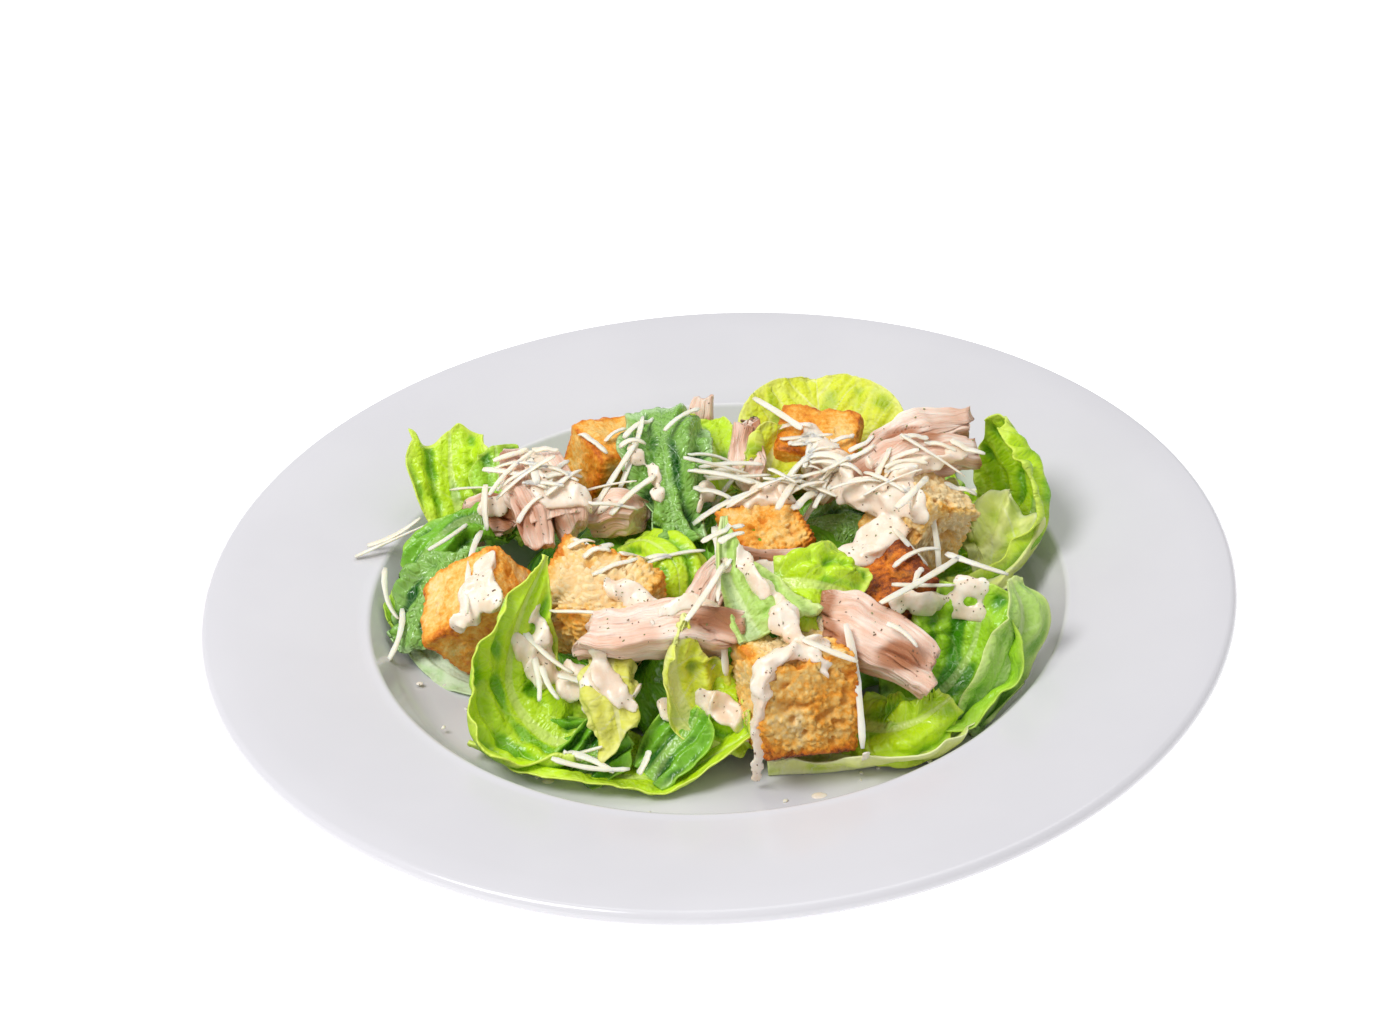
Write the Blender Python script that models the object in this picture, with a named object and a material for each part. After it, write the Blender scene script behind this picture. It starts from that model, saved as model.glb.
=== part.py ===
"""Caesar salad on a wide-rimmed porcelain plate, at its real size.

The row frame stands on the table: the origin is the middle of the plate's foot, +Z is up, +X is to the
eater's right and -Y is towards the eater. The plate is turned from one profile. The salad leaves are one
heap: a mound with every leaf that stands out of it, cut round the bread and the meat that lie in it.
Croutons, pieces of chicken and the three leaves laid on top of them are solids of their own.
Places and sizes of the food are written in millimetres and turned into metres by mm().
"""

import math

import bmesh
import bpy
from mathutils import Euler, Matrix, Vector, noise

# ---- driving dimensions of the plate, in metres ----
PLATE_DIAMETER = 0.270
WELL_DIAMETER = 0.1834  # at the edge where the rim turns down into the well
WELL_FLOOR_DIAMETER = 0.158
FLOOR_HEIGHT = 0.007  # the top of the well's floor above the table
WELL_EDGE_HEIGHT = 0.020
RIM_HEIGHT = 0.0264  # the top of the lip
WALL = 0.004
FOOT_DIAMETER = 0.152
FOOT_WIDTH = 0.005
FOOT_HEIGHT = 0.003
PLATE_STEPS = 56

# ---- driving dimensions of the food ----
GAP = 0.0004  # left between solids that touch
LEAF_THICKNESS = 0.0016  # a leaf with its blisters and creases
LEAF_CELLS = (7, 4)  # along the rib and across it
SMALL_LEAF = 0.0125  # the half width up to which a leaf needs fewer cells
SMALL_LEAF_CELLS = (6, 3)
CROUTON_CUTS = 3
CHICKEN_CUTS = 2

COLOURS = {
    "porcelain": ((0.86, 0.86, 0.88), 0.2),
    "lettuce": ((0.28, 0.52, 0.06), 0.45),
    "dark_leaf": ((0.07, 0.28, 0.06), 0.4),
    "bread": ((0.66, 0.36, 0.12), 0.8),
    "chicken": ((0.80, 0.56, 0.44), 0.5),
}


def mm(*values):
    """Millimetres as a vector in metres, or as one length."""
    metres = [v * 0.001 for v in values]
    return Vector(metres) if len(metres) > 1 else metres[0]


def material(name):
    """The finish of one kind of piece, made once and shared."""
    found = bpy.data.materials.get(name)
    if found:
        return found
    made = bpy.data.materials.new(name)
    made.use_nodes = True
    colour, roughness = COLOURS[name]
    shader = made.node_tree.nodes["Principled BSDF"]
    shader.inputs["Base Color"].default_value = (*colour, 1.0)
    shader.inputs["Roughness"].default_value = roughness
    shader.inputs["Metallic"].default_value = 0.0
    made.diffuse_color = (*colour, 1.0)
    return made


def add_object(name, bm, finish):
    """Turns a finished bmesh into an object of the scene."""
    bmesh.ops.recalc_face_normals(bm, faces=bm.faces)
    if bm.calc_volume(signed=True) < 0:
        bmesh.ops.reverse_faces(bm, faces=bm.faces)
    mesh = bpy.data.meshes.new(name)
    bm.to_mesh(mesh)
    bm.free()
    obj = bpy.data.objects.new(name, mesh)
    obj.data.materials.append(material(finish))
    bpy.context.scene.collection.objects.link(obj)
    return obj


def arc(centre, radius, start, end, steps):
    """Points of a round stretch of a profile, from start to end in degrees, both included."""
    angles = [math.radians(start + (end - start) * k / steps) for k in range(steps + 1)]
    return [(centre[0] + radius * math.cos(a), centre[1] + radius * math.sin(a)) for a in angles]


# ---- the plate ----
def plate_profile():
    """(radius, height) from the underside's middle round the lip to the middle of the well's floor."""
    foot_out = FOOT_DIAMETER / 2
    foot_in = foot_out - FOOT_WIDTH
    under = FLOOR_HEIGHT - WALL
    edge = WELL_DIAMETER / 2
    floor = WELL_FLOOR_DIAMETER / 2
    lip = WALL / 2
    lip_centre = (PLATE_DIAMETER / 2 - lip, RIM_HEIGHT - lip)
    profile = [(0.0, under), (foot_in, under), (foot_in + 0.0008, 0.0), (foot_out, 0.0)]
    profile += [(foot_out + 0.0006, FOOT_HEIGHT), (floor + 0.004, FLOOR_HEIGHT - 0.003)]
    profile += [(edge + 0.001, WELL_EDGE_HEIGHT - WALL - 0.003), (edge + 0.005, WELL_EDGE_HEIGHT - WALL)]
    profile += arc(lip_centre, lip, -90, 90, 4)
    profile += [(edge + 0.012, WELL_EDGE_HEIGHT + 0.0009), (edge + 0.003, WELL_EDGE_HEIGHT)]
    profile += [(edge, WELL_EDGE_HEIGHT - 0.0012), (edge - 0.0035, WELL_EDGE_HEIGHT - 0.0055)]
    profile += [(floor + 0.0045, FLOOR_HEIGHT + 0.0022), (floor - 0.001, FLOOR_HEIGHT + 0.0003)]
    profile += [(floor - 0.008, FLOOR_HEIGHT), (0.0, FLOOR_HEIGHT)]
    return profile


def turned(profile):
    """A bmesh turned about Z from a closed-off profile whose two ends lie on the axis."""
    bm = bmesh.new()
    ring = [bm.verts.new((radius, 0.0, height)) for radius, height in profile]
    edges = [bm.edges.new(pair) for pair in zip(ring, ring[1:])]
    bmesh.ops.spin(
        bm, geom=ring + edges, cent=(0, 0, 0), axis=(0, 0, 1), angle=math.tau,
        steps=PLATE_STEPS, use_merge=True,
    )
    bmesh.ops.remove_doubles(bm, verts=bm.verts, dist=1e-6)
    return bm


def make_plate():
    plate = add_object("plate", turned(plate_profile()), "porcelain")
    plate.data.shade_smooth()
    plate.data.set_sharp_from_angle(angle=math.radians(50))
    return plate


def plate_clearance():
    """A block that fills the plate and the room under it, GAP proud of its top: it shapes the heap."""
    profile = plate_profile()
    top = profile[profile.index(max(profile, key=lambda point: point[1])):]
    outline = [(0.0, -0.03), (PLATE_DIAMETER, -0.03), (PLATE_DIAMETER, RIM_HEIGHT + GAP)]
    outline += [(radius - GAP if radius else 0.0, height + GAP) for radius, height in top]
    cutter = add_object("plate_clearance", turned(outline), "porcelain")
    return hide(cutter)


def hide(helper):
    helper.hide_render = True
    helper.display_type = "WIRE"
    return helper


# ---- leaves ----
def along(points, t):
    """A point at share t of the smooth (Catmull-Rom) curve through points."""
    spans = len(points) - 1
    k = min(int(t * spans), spans - 1)
    f = t * spans - k
    p1, p2 = points[k], points[k + 1]
    p0 = points[k - 1] if k else p1 * 2 - p2
    p3 = points[k + 2] if k + 2 <= spans else p2 * 2 - p1
    bend = 2 * p0 - 5 * p1 + 4 * p2 - p3
    twist = 3 * p1 - p0 - 3 * p2 + p3
    return 0.5 * (2 * p1 + (p2 - p0) * f + bend * f**2 + twist * f**3)


def frame_at(spine, face, t):
    """(point, along, out of the upper face, to the side) at share t. face is where the upper face looks."""
    point = along(spine, t)
    step = (along(spine, min(t + 0.02, 1.0)) - along(spine, max(t - 0.02, 0.0))).normalized()
    wanted = along(face, t)
    out = (wanted - step * wanted.dot(step)).normalized()
    return point, step, out, out.cross(step)


def leaf_width(t, base, widest, tip):
    """The half width of a blade at share t, as a share of its widest: narrow base, round tip."""
    if t < widest:
        s = t / widest
        return base + (1 - base) * s * s * (3 - 2 * s)
    s = (t - widest) / (1 - widest)
    return max(math.sqrt(max(1 - s * s, 0.0)), tip)


def leaf_point(leaf, t, side):
    """The point of a leaf at share t of its rib and side -1 to 1 across it. The blade bends in an arc."""
    point, _, out, across = frame_at(leaf["rib"], leaf["face"], t)
    reach = abs(side) * leaf["half_width"] * leaf_width(t, leaf["base"], leaf["widest"], leaf["tip"])
    reach *= leaf["sides"][0 if side < 0 else 1]
    curl = math.radians(leaf["curl"][0 if side < 0 else 1]) * abs(side)
    turns = t * leaf["waves"] * math.tau + (2.0 if side < 0 else 0.0)
    sway = mm(leaf["wave"]) * math.sin(turns) * side * side
    flat = math.sin(curl) / curl if abs(curl) > 1e-3 else 1.0
    lift = (1 - math.cos(curl)) / curl if abs(curl) > 1e-3 else 0.0
    sideways = math.copysign(reach * flat, side)
    return point + across * sideways + out * (reach * lift + sway)


def leaf(
    rib, face, half_width, curl=(40, 40), base=0.45, widest=0.62, tip=0.34, sides=(1, 1), wave=1.5, waves=2.0
):
    """One leaf: its rib's points from base to tip, where its upper face looks along it, and its curl in
    degrees. The curl and the share of the width are given for the two sides of the rib."""
    return {
        "rib": [mm(*p) for p in rib],
        "face": [Vector(f).normalized() for f in face],
        "half_width": mm(half_width),
        "curl": curl,
        "base": base,
        "widest": widest,
        "tip": tip,
        "sides": sides,
        "wave": wave,
        "waves": waves,
    }


HEAP_LEAVES = {
    "back_left": leaf(
        [(-66, 30, 16), (-69, 38, 23), (-71, 46, 31), (-71, 54, 38)],
        [(0.2, -0.7, 0.7), (0.1, -0.7, 0.7)], 13, (25, 35), 0.6, 0.75, 0.8,
    ),
    "back_left_green": leaf(
        [(-56, 32, 22), (-57, 39, 30), (-58, 46, 37)],
        [(0.1, -0.8, 0.6), (0, -0.7, 0.7)], 9, (30, 20), 0.9, 0.62, 0.6,
    ),
    "left_upper": leaf(
        [(-56, 25, 27), (-66, 22, 32), (-75, 16, 29), (-83, 11, 21)],
        [(0, -0.3, 1), (-0.4, -0.4, 0.9)], 10, (-35, -45),
    ),
    "left_lower": leaf(
        [(-58, 8, 30), (-68, 2, 31), (-77, -3, 25), (-84, -9, 14)],
        [(0, -0.2, 1), (-0.5, -0.4, 0.8)], 12, (-40, -40),
    ),
    "left_under": leaf(
        [(-84, 4, 13), (-80, -8, 10.5), (-73, -17, 9.5), (-60, -26, 9)],
        [(-0.2, -0.2, 1), (-0.3, -0.3, 0.9)], 6, (10, 10), 0.8,
    ),
    "front_cup": leaf(
        [(-34, -53, 11), (-44, -47, 13), (-50, -39, 23), (-49, -34, 37), (-42, -26, 52)],
        [(0.1, -0.1, 1), (0.4, -0.6, 0.7), (0.45, -0.9, 0.2), (0.4, -0.9, 0.2)],
        17, (35, 60), 0.6, 0.42, 0.12,
    ),
    "front_cup_low": leaf(
        [(-61, -42, 14), (-55, -49, 11), (-44, -54, 10), (-30, -56, 13)],
        [(0.3, -0.2, 1), (0, -0.5, 0.9)], 9, (50, 20), 0.8, 0.62, 0.6,
    ),
    "front_wide": leaf(
        [(-68, -41, 13), (-50, -51, 9.5), (-30, -61, 9), (-11, -62, 9.5), (12, -60, 24)],
        [(0.1, 0.1, 1), (-0.3, 0.1, 1)], 17, (62, 30), 0.75, 0.4, 0.15, (0.6, 1.0),
    ),
    "frilly": leaf(
        [(-28, -41, 33), (-28, -48, 31), (-27, -56, 26), (-26, -62, 17)],
        [(0, -0.3, 1), (0.1, -1, 0.4)], 8, (-60, -60), 0.6, 0.75, 0.7,
    ),
    "front_middle": leaf(
        [(3, -55, 15), (-6, -57, 19), (-11, -54, 28), (-8, -48, 46)],
        [(0.3, -0.1, 1), (0.8, -0.6, 0.4)], 8, (35, 40), 0.9, 0.3, 0.1,
    ),
    "front_right_low": leaf(
        [(10, -61, 8.8), (26, -62, 9), (44, -61, 10), (62, -53, 11)],
        [(0, 0.2, 1), (-0.2, 0.1, 1)], 13, (66, 30), 0.45, 0.62, 0.5, (0.85, 1.0),
    ),
    "front_right": leaf(
        [(40, -44, 12), (53, -44, 14), (63, -38, 23), (67, -31, 37)],
        [(0, -0.2, 1), (-0.4, -0.8, 0.4)], 18, (50, 35), 0.7, 0.62, 0.6,
    ),
    "front_right_crumple": leaf(
        [(33, -52, 13), (40, -57, 15), (48, -57, 17), (57, -51, 19)],
        [(0, -0.5, 0.9), (0, -0.5, 0.8)], 9, (-55, -45), 0.9,
    ),
    "front_right_fold": leaf(
        [(61, -54, 10), (67, -50, 16), (72, -45, 25), (76, -39, 33), (74, -34, 42)],
        [(0.4, -0.7, 0.6), (0.7, -0.6, 0.3)], 9, (-15, 10), 0.7, 0.5, 0.5,
    ),
    "right": leaf(
        [(58, 4, 14), (73, 9, 15), (85, 18, 24), (86, 26, 36), (79, 31, 48)],
        [(-0.2, 0.1, 1), (-0.9, -0.4, -0.1)], 19, (75, 60), 0.6,
    ),
    "right_lobes": leaf(
        [(61, 2, 17), (69, 6, 16), (78, 13, 16), (87, 24, 20)],
        [(0, -0.8, 0.6), (0.1, -0.9, 0.5)], 20, (0, -10), 0.9, 0.3, 0.3, (0.12, 1.0),
    ),
    "back": leaf(
        [(31, 38, 24), (31, 45, 32), (31, 54, 39), (31, 63, 43)],
        [(0, -0.6, 0.8), (0, -0.5, 0.9)], 23, (25, 25), 0.7, 0.45, 0.7,
    ),
    "back_bright": leaf(
        [(6, 14, 28), (3, 26, 38), (0, 37, 44), (-3, 44, 45)],
        [(0.2, -0.5, 0.8), (0.4, 0, 0.9)], 8, (30, 30), 0.7,
    ),
    "back_small": leaf(
        [(13, 18, 28), (14, 24, 36), (17, 30, 42), (22, 36, 46)],
        [(0.1, -0.8, 0.6), (0, -0.8, 0.4)], 8, (40, 40), 0.6,
    ),
    "rolled": leaf(
        [(-24, 6, 32), (-17, -2, 38), (-10, -12, 36), (-10, -20, 26)],
        [(0, -0.2, 1), (0.4, -0.9, 0.4)], 13, (-60, -70), 0.6,
    ),
    "dark_middle": leaf(
        [(20, 10, 28), (30, 11, 32), (40, 9, 30), (48, 4, 22)],
        [(0, -0.2, 1), (0.2, -0.5, 0.8)], 11, (-50, -40), 0.6,
    ),
    "rear_left": leaf(
        [(-36, 34, 24), (-44, 48, 25), (-50, 58, 20), (-54, 66, 12)],
        [(0, 0, 1), (-0.4, 0.6, 0.6)], 25, (-35, -45), 0.8,
    ),
    "rear_middle": leaf(
        [(-4, 36, 30), (-5, 50, 32), (-6, 63, 25), (-7, 73, 13)],
        [(0, 0, 1), (0, 0.8, 0.5)], 27, (-35, -35), 0.8,
    ),
    "rear_right": leaf(
        [(36, 34, 26), (44, 47, 28), (50, 58, 22), (54, 66, 12)],
        [(0, 0, 1), (0.4, 0.6, 0.6)], 25, (-45, -35), 0.8,
    ),
    "rear_side": leaf(
        [(60, 22, 18), (66, 32, 20), (70, 41, 16), (74, 47, 11)],
        [(0, 0, 1), (0.6, 0.4, 0.6)], 17, (-40, -40), 0.7,
    ),
}

TOP_LEAVES = {
    "leaf_dark_top": leaf(
        [(-8, -1, 35), (-11, 10, 43), (-12, 25, 50), (-12, 43, 51)],
        [(0, -0.7, 0.7), (0, -0.4, 1)], 13, (-35, -30), 0.5, 0.7, 0.8,
    ),
    "leaf_curl_pale": leaf(
        [(6, -49, 40), (2, -41, 45), (2, -31, 51), (4, -20, 57)],
        [(0.3, -0.8, 0.6), (0.2, -0.9, 0.4)], 9, (30, 10), 1.0, 0.2, 0.2, (1.3, 0.4),
    ),
    "leaf_curl_bright": leaf(
        [(14, -33, 44), (22, -35, 45), (29, -35, 43), (36, -34, 39)],
        [(0, -0.6, 0.8), (0.3, -0.7, 0.6)], 12, (-35, -35), 0.7, 0.62, 0.6,
    ),
}


def leaf_solid(name, shape, finish):
    """A leaf as a thin closed solid: a grid bent to its form and thickened."""
    bm = bmesh.new()
    cells = LEAF_CELLS if shape["half_width"] > SMALL_LEAF else SMALL_LEAF_CELLS
    bmesh.ops.create_grid(bm, x_segments=cells[0], y_segments=cells[1], size=1.0)
    for vert in bm.verts:
        vert.co = leaf_point(shape, (vert.co.x + 1) / 2, vert.co.y)
    bmesh.ops.recalc_face_normals(bm, faces=bm.faces)
    bmesh.ops.solidify(bm, geom=bm.faces[:], thickness=LEAF_THICKNESS)
    return add_object(name, flat_faced(bm), finish)


def flat_faced(bm):
    """Splits the bent faces into triangles, so that a cut through them leaves both sides alike."""
    bmesh.ops.triangulate(bm, faces=bm.faces)
    return bm


# ---- croutons and chicken ----
CROUTONS = {  # centre, size and turn in degrees
    "crouton_left": ((-60, -14, 27), (22, 26, 20.5), (-64, 49, 22)),
    "crouton_left_middle": ((-31, -20, 30), (30, 24, 24), (20, 10, -28)),
    "crouton_back_left": ((-27, 36, 37), (20, 18, 21), (10, 12, 30)),
    "crouton_back": ((29, 38, 36), (22, 18, 18), (14, 8, -12)),
    "crouton_middle": ((12, 2, 31), (25, 21, 20), (18, -10, 20)),
    "crouton_right": ((53, 1, 38), (20, 20, 21), (12, 32, 38)),
    "crouton_right_dark": ((42, -19, 27), (25, 25, 23), (8, -12, 20)),
    "crouton_front": ((18, -55, 26), (25, 25, 26), (-17, 4, 14)),
}

CHICKEN = {  # the spine's points, width, thickness, and where its flat face looks
    "chicken_back_left": (
        [(-48, 31, 42), (-47, 22, 45), (-44, 13, 44), (-42, 1, 38)], 18, 13, (0.1, -0.5, 0.9),
    ),
    "chicken_left_small": ([(-67, 26, 27), (-60, 25, 30), (-53, 24, 29)], 13, 8, (0, -0.6, 0.8)),
    "chicken_back_tip": ([(-4, 40, 40), (-3, 46, 44), (-1, 50, 49)], 7, 6, (0, -0.6, 0.8)),
    "chicken_back_slim": ([(10, 22, 38), (10, 29, 43), (10, 37, 47)], 10, 8, (0, -0.7, 0.7)),
    "chicken_front": (
        [(-34, -40, 36), (-22, -42, 38), (-9, -43, 39), (4, -42, 37)], 12, 13, (0, -0.5, 0.9),
    ),
    "chicken_front_right": (
        [(25, -39, 37), (33, -43, 36), (42, -49, 33), (51, -55, 29)], 14, 11, (0.1, -0.5, 0.9),
    ),
    "chicken_right": ([(29, -1, 44), (43, 6, 48), (58, 14, 49), (70, 20, 47)], 18, 11, (-0.1, -0.4, 0.9)),
    "chicken_middle_left": ([(-29, 11, 36), (-23, 9, 39), (-16, 8, 38)], 13, 11, (0, -0.4, 0.9)),
    "chicken_centre": ([(-6, -30, 34), (2, -20, 37), (14, -20, 37), (26, -17, 36)], 12, 11, (0, -0.4, 0.9)),
    "chicken_back_right": ([(24, 14, 42), (31, 18, 45), (40, 22, 44)], 14, 10, (0, -0.5, 0.9)),
}


def rounded(co, power=3.2):
    """Pulls a point of a cube with corners at 1 inwards, to a block with soft edges and corners."""
    length = sum(abs(c) ** power for c in co) ** (1 / power)
    return co * (max(abs(c) for c in co) / length)


def uneven(co, seed, size, height):
    """A displacement that is the same each run: smooth noise of a given grain and height."""
    at = co / size + Vector((seed * 17.3, seed * 5.1, seed * 9.7))
    return Vector(noise.noise(at + Vector((0, 0, 31.7 * axis))) for axis in range(3)) * height


def cut_cube(cuts):
    """A cube with corners at 1, its faces cut into a grid."""
    bm = bmesh.new()
    bmesh.ops.create_cube(bm, size=2.0)
    bmesh.ops.subdivide_edges(bm, edges=bm.edges, cuts=cuts, use_grid_fill=True)
    return bm


def make_crouton(name, seed, centre, size, turn):
    """A cube of torn, toasted bread: soft corners and uneven faces."""
    bm = cut_cube(CROUTON_CUTS)
    half = mm(*size) / 2
    place = Matrix.Translation(mm(*centre)) @ Euler([math.radians(a) for a in turn]).to_matrix().to_4x4()
    for vert in bm.verts:
        block = rounded(vert.co, 6.0) * half
        vert.co = place @ (block + uneven(block, seed, mm(11), mm(2.2)))
    return add_object(name, flat_faced(bm), "bread")


def make_chicken(name, seed, spine, width, thickness, face):
    """A torn piece of meat: a block laid along its spine, thinner and ragged at both ends."""
    bm = cut_cube(CHICKEN_CUTS)
    points = [mm(*p) for p in spine]
    looks = [Vector(face), Vector(face)]
    bmesh.ops.subdivide_edges(
        bm, edges=[e for e in bm.edges if abs(e.verts[0].co.x - e.verts[1].co.x) > 0.1],
        cuts=1, use_grid_fill=True,
    )
    for vert in bm.verts:
        share = (vert.co.x + 1) / 2
        block = rounded(vert.co, 3.5)
        point, _, out, across = frame_at(points, looks, share)
        taper = 0.62 + 0.38 * math.sin(math.pi * (0.12 + 0.76 * share))
        offset = across * block.y * mm(width) / 2 * taper + out * block.z * mm(thickness) / 2 * taper
        vert.co = point + offset + uneven(point + offset, seed, mm(9), mm(1.8))
    return add_object(name, flat_faced(bm), "chicken")


# ---- the heap ----
HEAP_CENTRE = (-2, -4)
HEAP_HEIGHT = 22  # of the mound over its widest level
HEAP_SLOPE = 0.16  # by which the mound is higher towards the back
HEAP_LEVEL = 11.5  # of the mound's widest ring above the table
HEAP_REACH = [64, 66, 60, 60, 62, 66, 66, 66, 62, 60, 62, 64]  # every 30 degrees from +X


def heap_reach(angle):
    """How far the mound reaches from its centre at an angle, smooth between the listed ones."""
    place = (angle / math.tau % 1.0) * len(HEAP_REACH)
    low = int(place)
    f = place - low
    f = f * f * (3 - 2 * f)
    return HEAP_REACH[low % len(HEAP_REACH)] * (1 - f) + HEAP_REACH[(low + 1) % len(HEAP_REACH)] * f


def make_mound():
    """The body of the heap: a low uneven dome that fills the well under the leaves."""
    bm = bmesh.new()
    bmesh.ops.create_uvsphere(bm, u_segments=22, v_segments=10, radius=1.0)
    for vert in bm.verts:
        angle = math.atan2(vert.co.y, vert.co.x)
        reach = heap_reach(angle) * math.hypot(vert.co.x, vert.co.y)
        x, y = reach * math.cos(angle), reach * math.sin(angle)
        height = vert.co.z * (HEAP_HEIGHT + HEAP_SLOPE * y if vert.co.z > 0 else 6)
        vert.co = mm(HEAP_CENTRE[0] + x, HEAP_CENTRE[1] + y, HEAP_LEVEL + height)
        vert.co += uneven(vert.co, 3, mm(16), mm(3.5))
    return add_object("lettuce", flat_faced(bm), "lettuce")


# ---- fitting the pieces together ----
def evaluated_mesh(obj):
    """The object's mesh with its modifiers applied, in its place."""
    graph = bpy.context.evaluated_depsgraph_get()
    mesh = bpy.data.meshes.new_from_object(obj.evaluated_get(graph))
    mesh.transform(obj.matrix_world)
    return mesh


def swollen(obj):
    """A hidden copy of a piece, GAP larger all round, that cuts room for it out of its neighbours."""
    bm = bmesh.new()
    bm.from_mesh(evaluated_mesh(obj))
    bm.normal_update()
    moves = [vert.normal * GAP * vert.calc_shell_factor() for vert in bm.verts]
    for vert, move in zip(bm.verts, moves):
        vert.co += move
    return hide(add_object(obj.name + "_room", bm, "bread"))


def boolean(obj, other, operation, solver="EXACT"):
    step = obj.modifiers.new(operation.title(), "BOOLEAN")
    step.operation = operation
    step.solver = solver
    step.object = other


def keep_largest(obj):
    """Applies the modifiers and drops the crumbs that the cuts left, so that the piece is one body."""
    bm = bmesh.new()
    bm.from_mesh(evaluated_mesh(obj))
    left, islands = set(bm.verts), []
    while left:
        island, edge = set(), [left.pop()]
        while edge:
            vert = edge.pop()
            island.add(vert)
            for link in vert.link_edges:
                other = link.other_vert(vert)
                if other in left:
                    left.discard(other)
                    edge.append(other)
        islands.append(island)
    islands.sort(key=len)
    for island in islands[:-1]:
        bmesh.ops.delete(bm, geom=list(island), context="VERTS")
    obj.modifiers.clear()
    bm.to_mesh(obj.data)
    bm.free()


def cut_round(obj, rooms, solver="EXACT"):
    for room in rooms:
        boolean(obj, room, "DIFFERENCE", solver)
    keep_largest(obj)


def main():
    for obj in list(bpy.data.objects):
        bpy.data.objects.remove(obj)
    make_plate()
    well = plate_clearance()
    toppings, rooms = [], [well]
    for seed, (name, (centre, size, turn)) in enumerate(CROUTONS.items()):
        toppings.append(make_crouton(name, seed, centre, size, turn))
    for seed, (name, (spine, width, thickness, face)) in enumerate(CHICKEN.items()):
        toppings.append(make_chicken(name, seed + 20, spine, width, thickness, face))
    for name, shape in TOP_LEAVES.items():
        toppings.append(leaf_solid(name, shape, "dark_leaf" if "dark" in name else "lettuce"))
    for piece in toppings:
        room = swollen(piece)
        cut_round(piece, rooms)
        rooms.append(room)
    heap = make_mound()  # so many leaves that run through each other join only with the MANIFOLD solver
    for name, shape in HEAP_LEAVES.items():
        boolean(heap, hide(leaf_solid("heap_" + name, shape, "lettuce")), "UNION", "MANIFOLD")
    cut_round(heap, rooms, "MANIFOLD")


main()
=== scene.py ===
import math
import random

import bmesh
import bpy
from mathutils import Euler, Matrix, Vector, noise
from mathutils.bvhtree import BVHTree


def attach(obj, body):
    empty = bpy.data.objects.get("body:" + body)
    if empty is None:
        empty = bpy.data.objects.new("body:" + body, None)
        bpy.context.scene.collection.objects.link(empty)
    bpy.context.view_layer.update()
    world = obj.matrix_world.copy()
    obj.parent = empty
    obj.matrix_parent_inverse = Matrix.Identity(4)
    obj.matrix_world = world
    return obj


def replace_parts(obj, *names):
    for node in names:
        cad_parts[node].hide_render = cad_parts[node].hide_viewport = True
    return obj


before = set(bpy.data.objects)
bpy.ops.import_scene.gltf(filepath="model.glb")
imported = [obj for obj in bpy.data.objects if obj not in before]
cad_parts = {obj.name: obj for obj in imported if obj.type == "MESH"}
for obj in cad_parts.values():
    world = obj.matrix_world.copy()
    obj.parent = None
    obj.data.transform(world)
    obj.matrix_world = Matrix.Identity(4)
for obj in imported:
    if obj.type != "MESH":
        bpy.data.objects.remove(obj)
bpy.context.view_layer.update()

# ----------------------------------------------------------------------------------------------------------
# The plate: white porcelain, jiggered in one piece with a wide flat rim, a shallow well and a foot ring.
# It is dipped in clear glaze and fired standing on the foot, whose bearing edge is left bare.
PLATE_RADIUS = 0.135
WELL_RADIUS = 0.0917  # where the rim turns down into the well
FLOOR_RADIUS = 0.079
WALL = 0.004
FOOT_RADIUS = 0.076
PLATE_STEPS = 180


def arc(centre, radius, start, end, steps):
    """Points of a round stretch of a profile, from start to end in degrees, both included."""
    angles = [math.radians(start + (end - start) * k / steps) for k in range(steps + 1)]
    return [(centre[0] + radius * math.cos(a), centre[1] + radius * math.sin(a)) for a in angles]


def plate_profile():
    """(radius, height) from the middle of the underside, round the lip, to the middle of the well."""
    lip = WALL / 2
    profile = [(0.0, 0.003), (0.03, 0.003), (0.0709, 0.003), (0.0713, 0.0026), (0.0718, 0.0002)]
    profile += [(0.0722, 0.0), (0.0755, 0.0), (FOOT_RADIUS, 0.0003), (0.0766, 0.003), (0.0785, 0.0036)]
    profile += [(0.083, 0.0046), (0.0885, 0.0085), (WELL_RADIUS + 0.001, 0.0128), (0.0955, 0.0155)]
    profile += arc((PLATE_RADIUS - lip, 0.0264 - lip), lip, -90, 90, 12)
    profile += [(0.125, 0.02555), (0.112, 0.0233), (0.1, 0.0212), (WELL_RADIUS + 0.0035, 0.02025)]
    profile += arc((WELL_RADIUS + 0.0011, 0.0182), 0.0019, 78, 158, 6)
    profile += [(0.0887, 0.01615), (0.0866, 0.0126), (0.0845, 0.00985), (0.082, 0.0083)]
    return profile + [(FLOOR_RADIUS, 0.0074), (0.075, 0.00706), (0.07, 0.007), (0.035, 0.007), (0.0, 0.007)]


def placed(name, data):
    thing = bpy.data.objects.new(name, data)
    bpy.context.scene.collection.objects.link(thing)
    return thing


def meshed(name, bm, material):
    mesh = bpy.data.meshes.new(name)
    bm.to_mesh(mesh)
    bm.free()
    mesh.materials.append(material)
    return placed(name, mesh)


def add_piece(name, bm, material, smooth=True):
    """Makes the finished mesh a piece of the object, fixed to its one body."""
    piece = meshed(name, bm, material)
    if smooth:
        piece.data.shade_smooth()
    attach(piece, "root")
    return piece


def new_finish(name):
    """A new material, its node tree and its shader."""
    material = bpy.data.materials.new(name)
    material.use_nodes = True
    return material, material.node_tree, material.node_tree.nodes["Principled BSDF"]


def feed(tree, node, inputs):
    """Sets each input, named or numbered, to a value or to the output that feeds it."""
    for key, value in inputs.items():
        if isinstance(value, bpy.types.NodeSocket):
            tree.links.new(value, node.inputs[key])
        else:
            node.inputs[key].default_value = value


def add_node(tree, kind, inputs, **settings):
    node = tree.nodes.new("ShaderNode" + kind)
    for key, value in settings.items():
        setattr(node, key, value)
    feed(tree, node, inputs)
    return node


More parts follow.
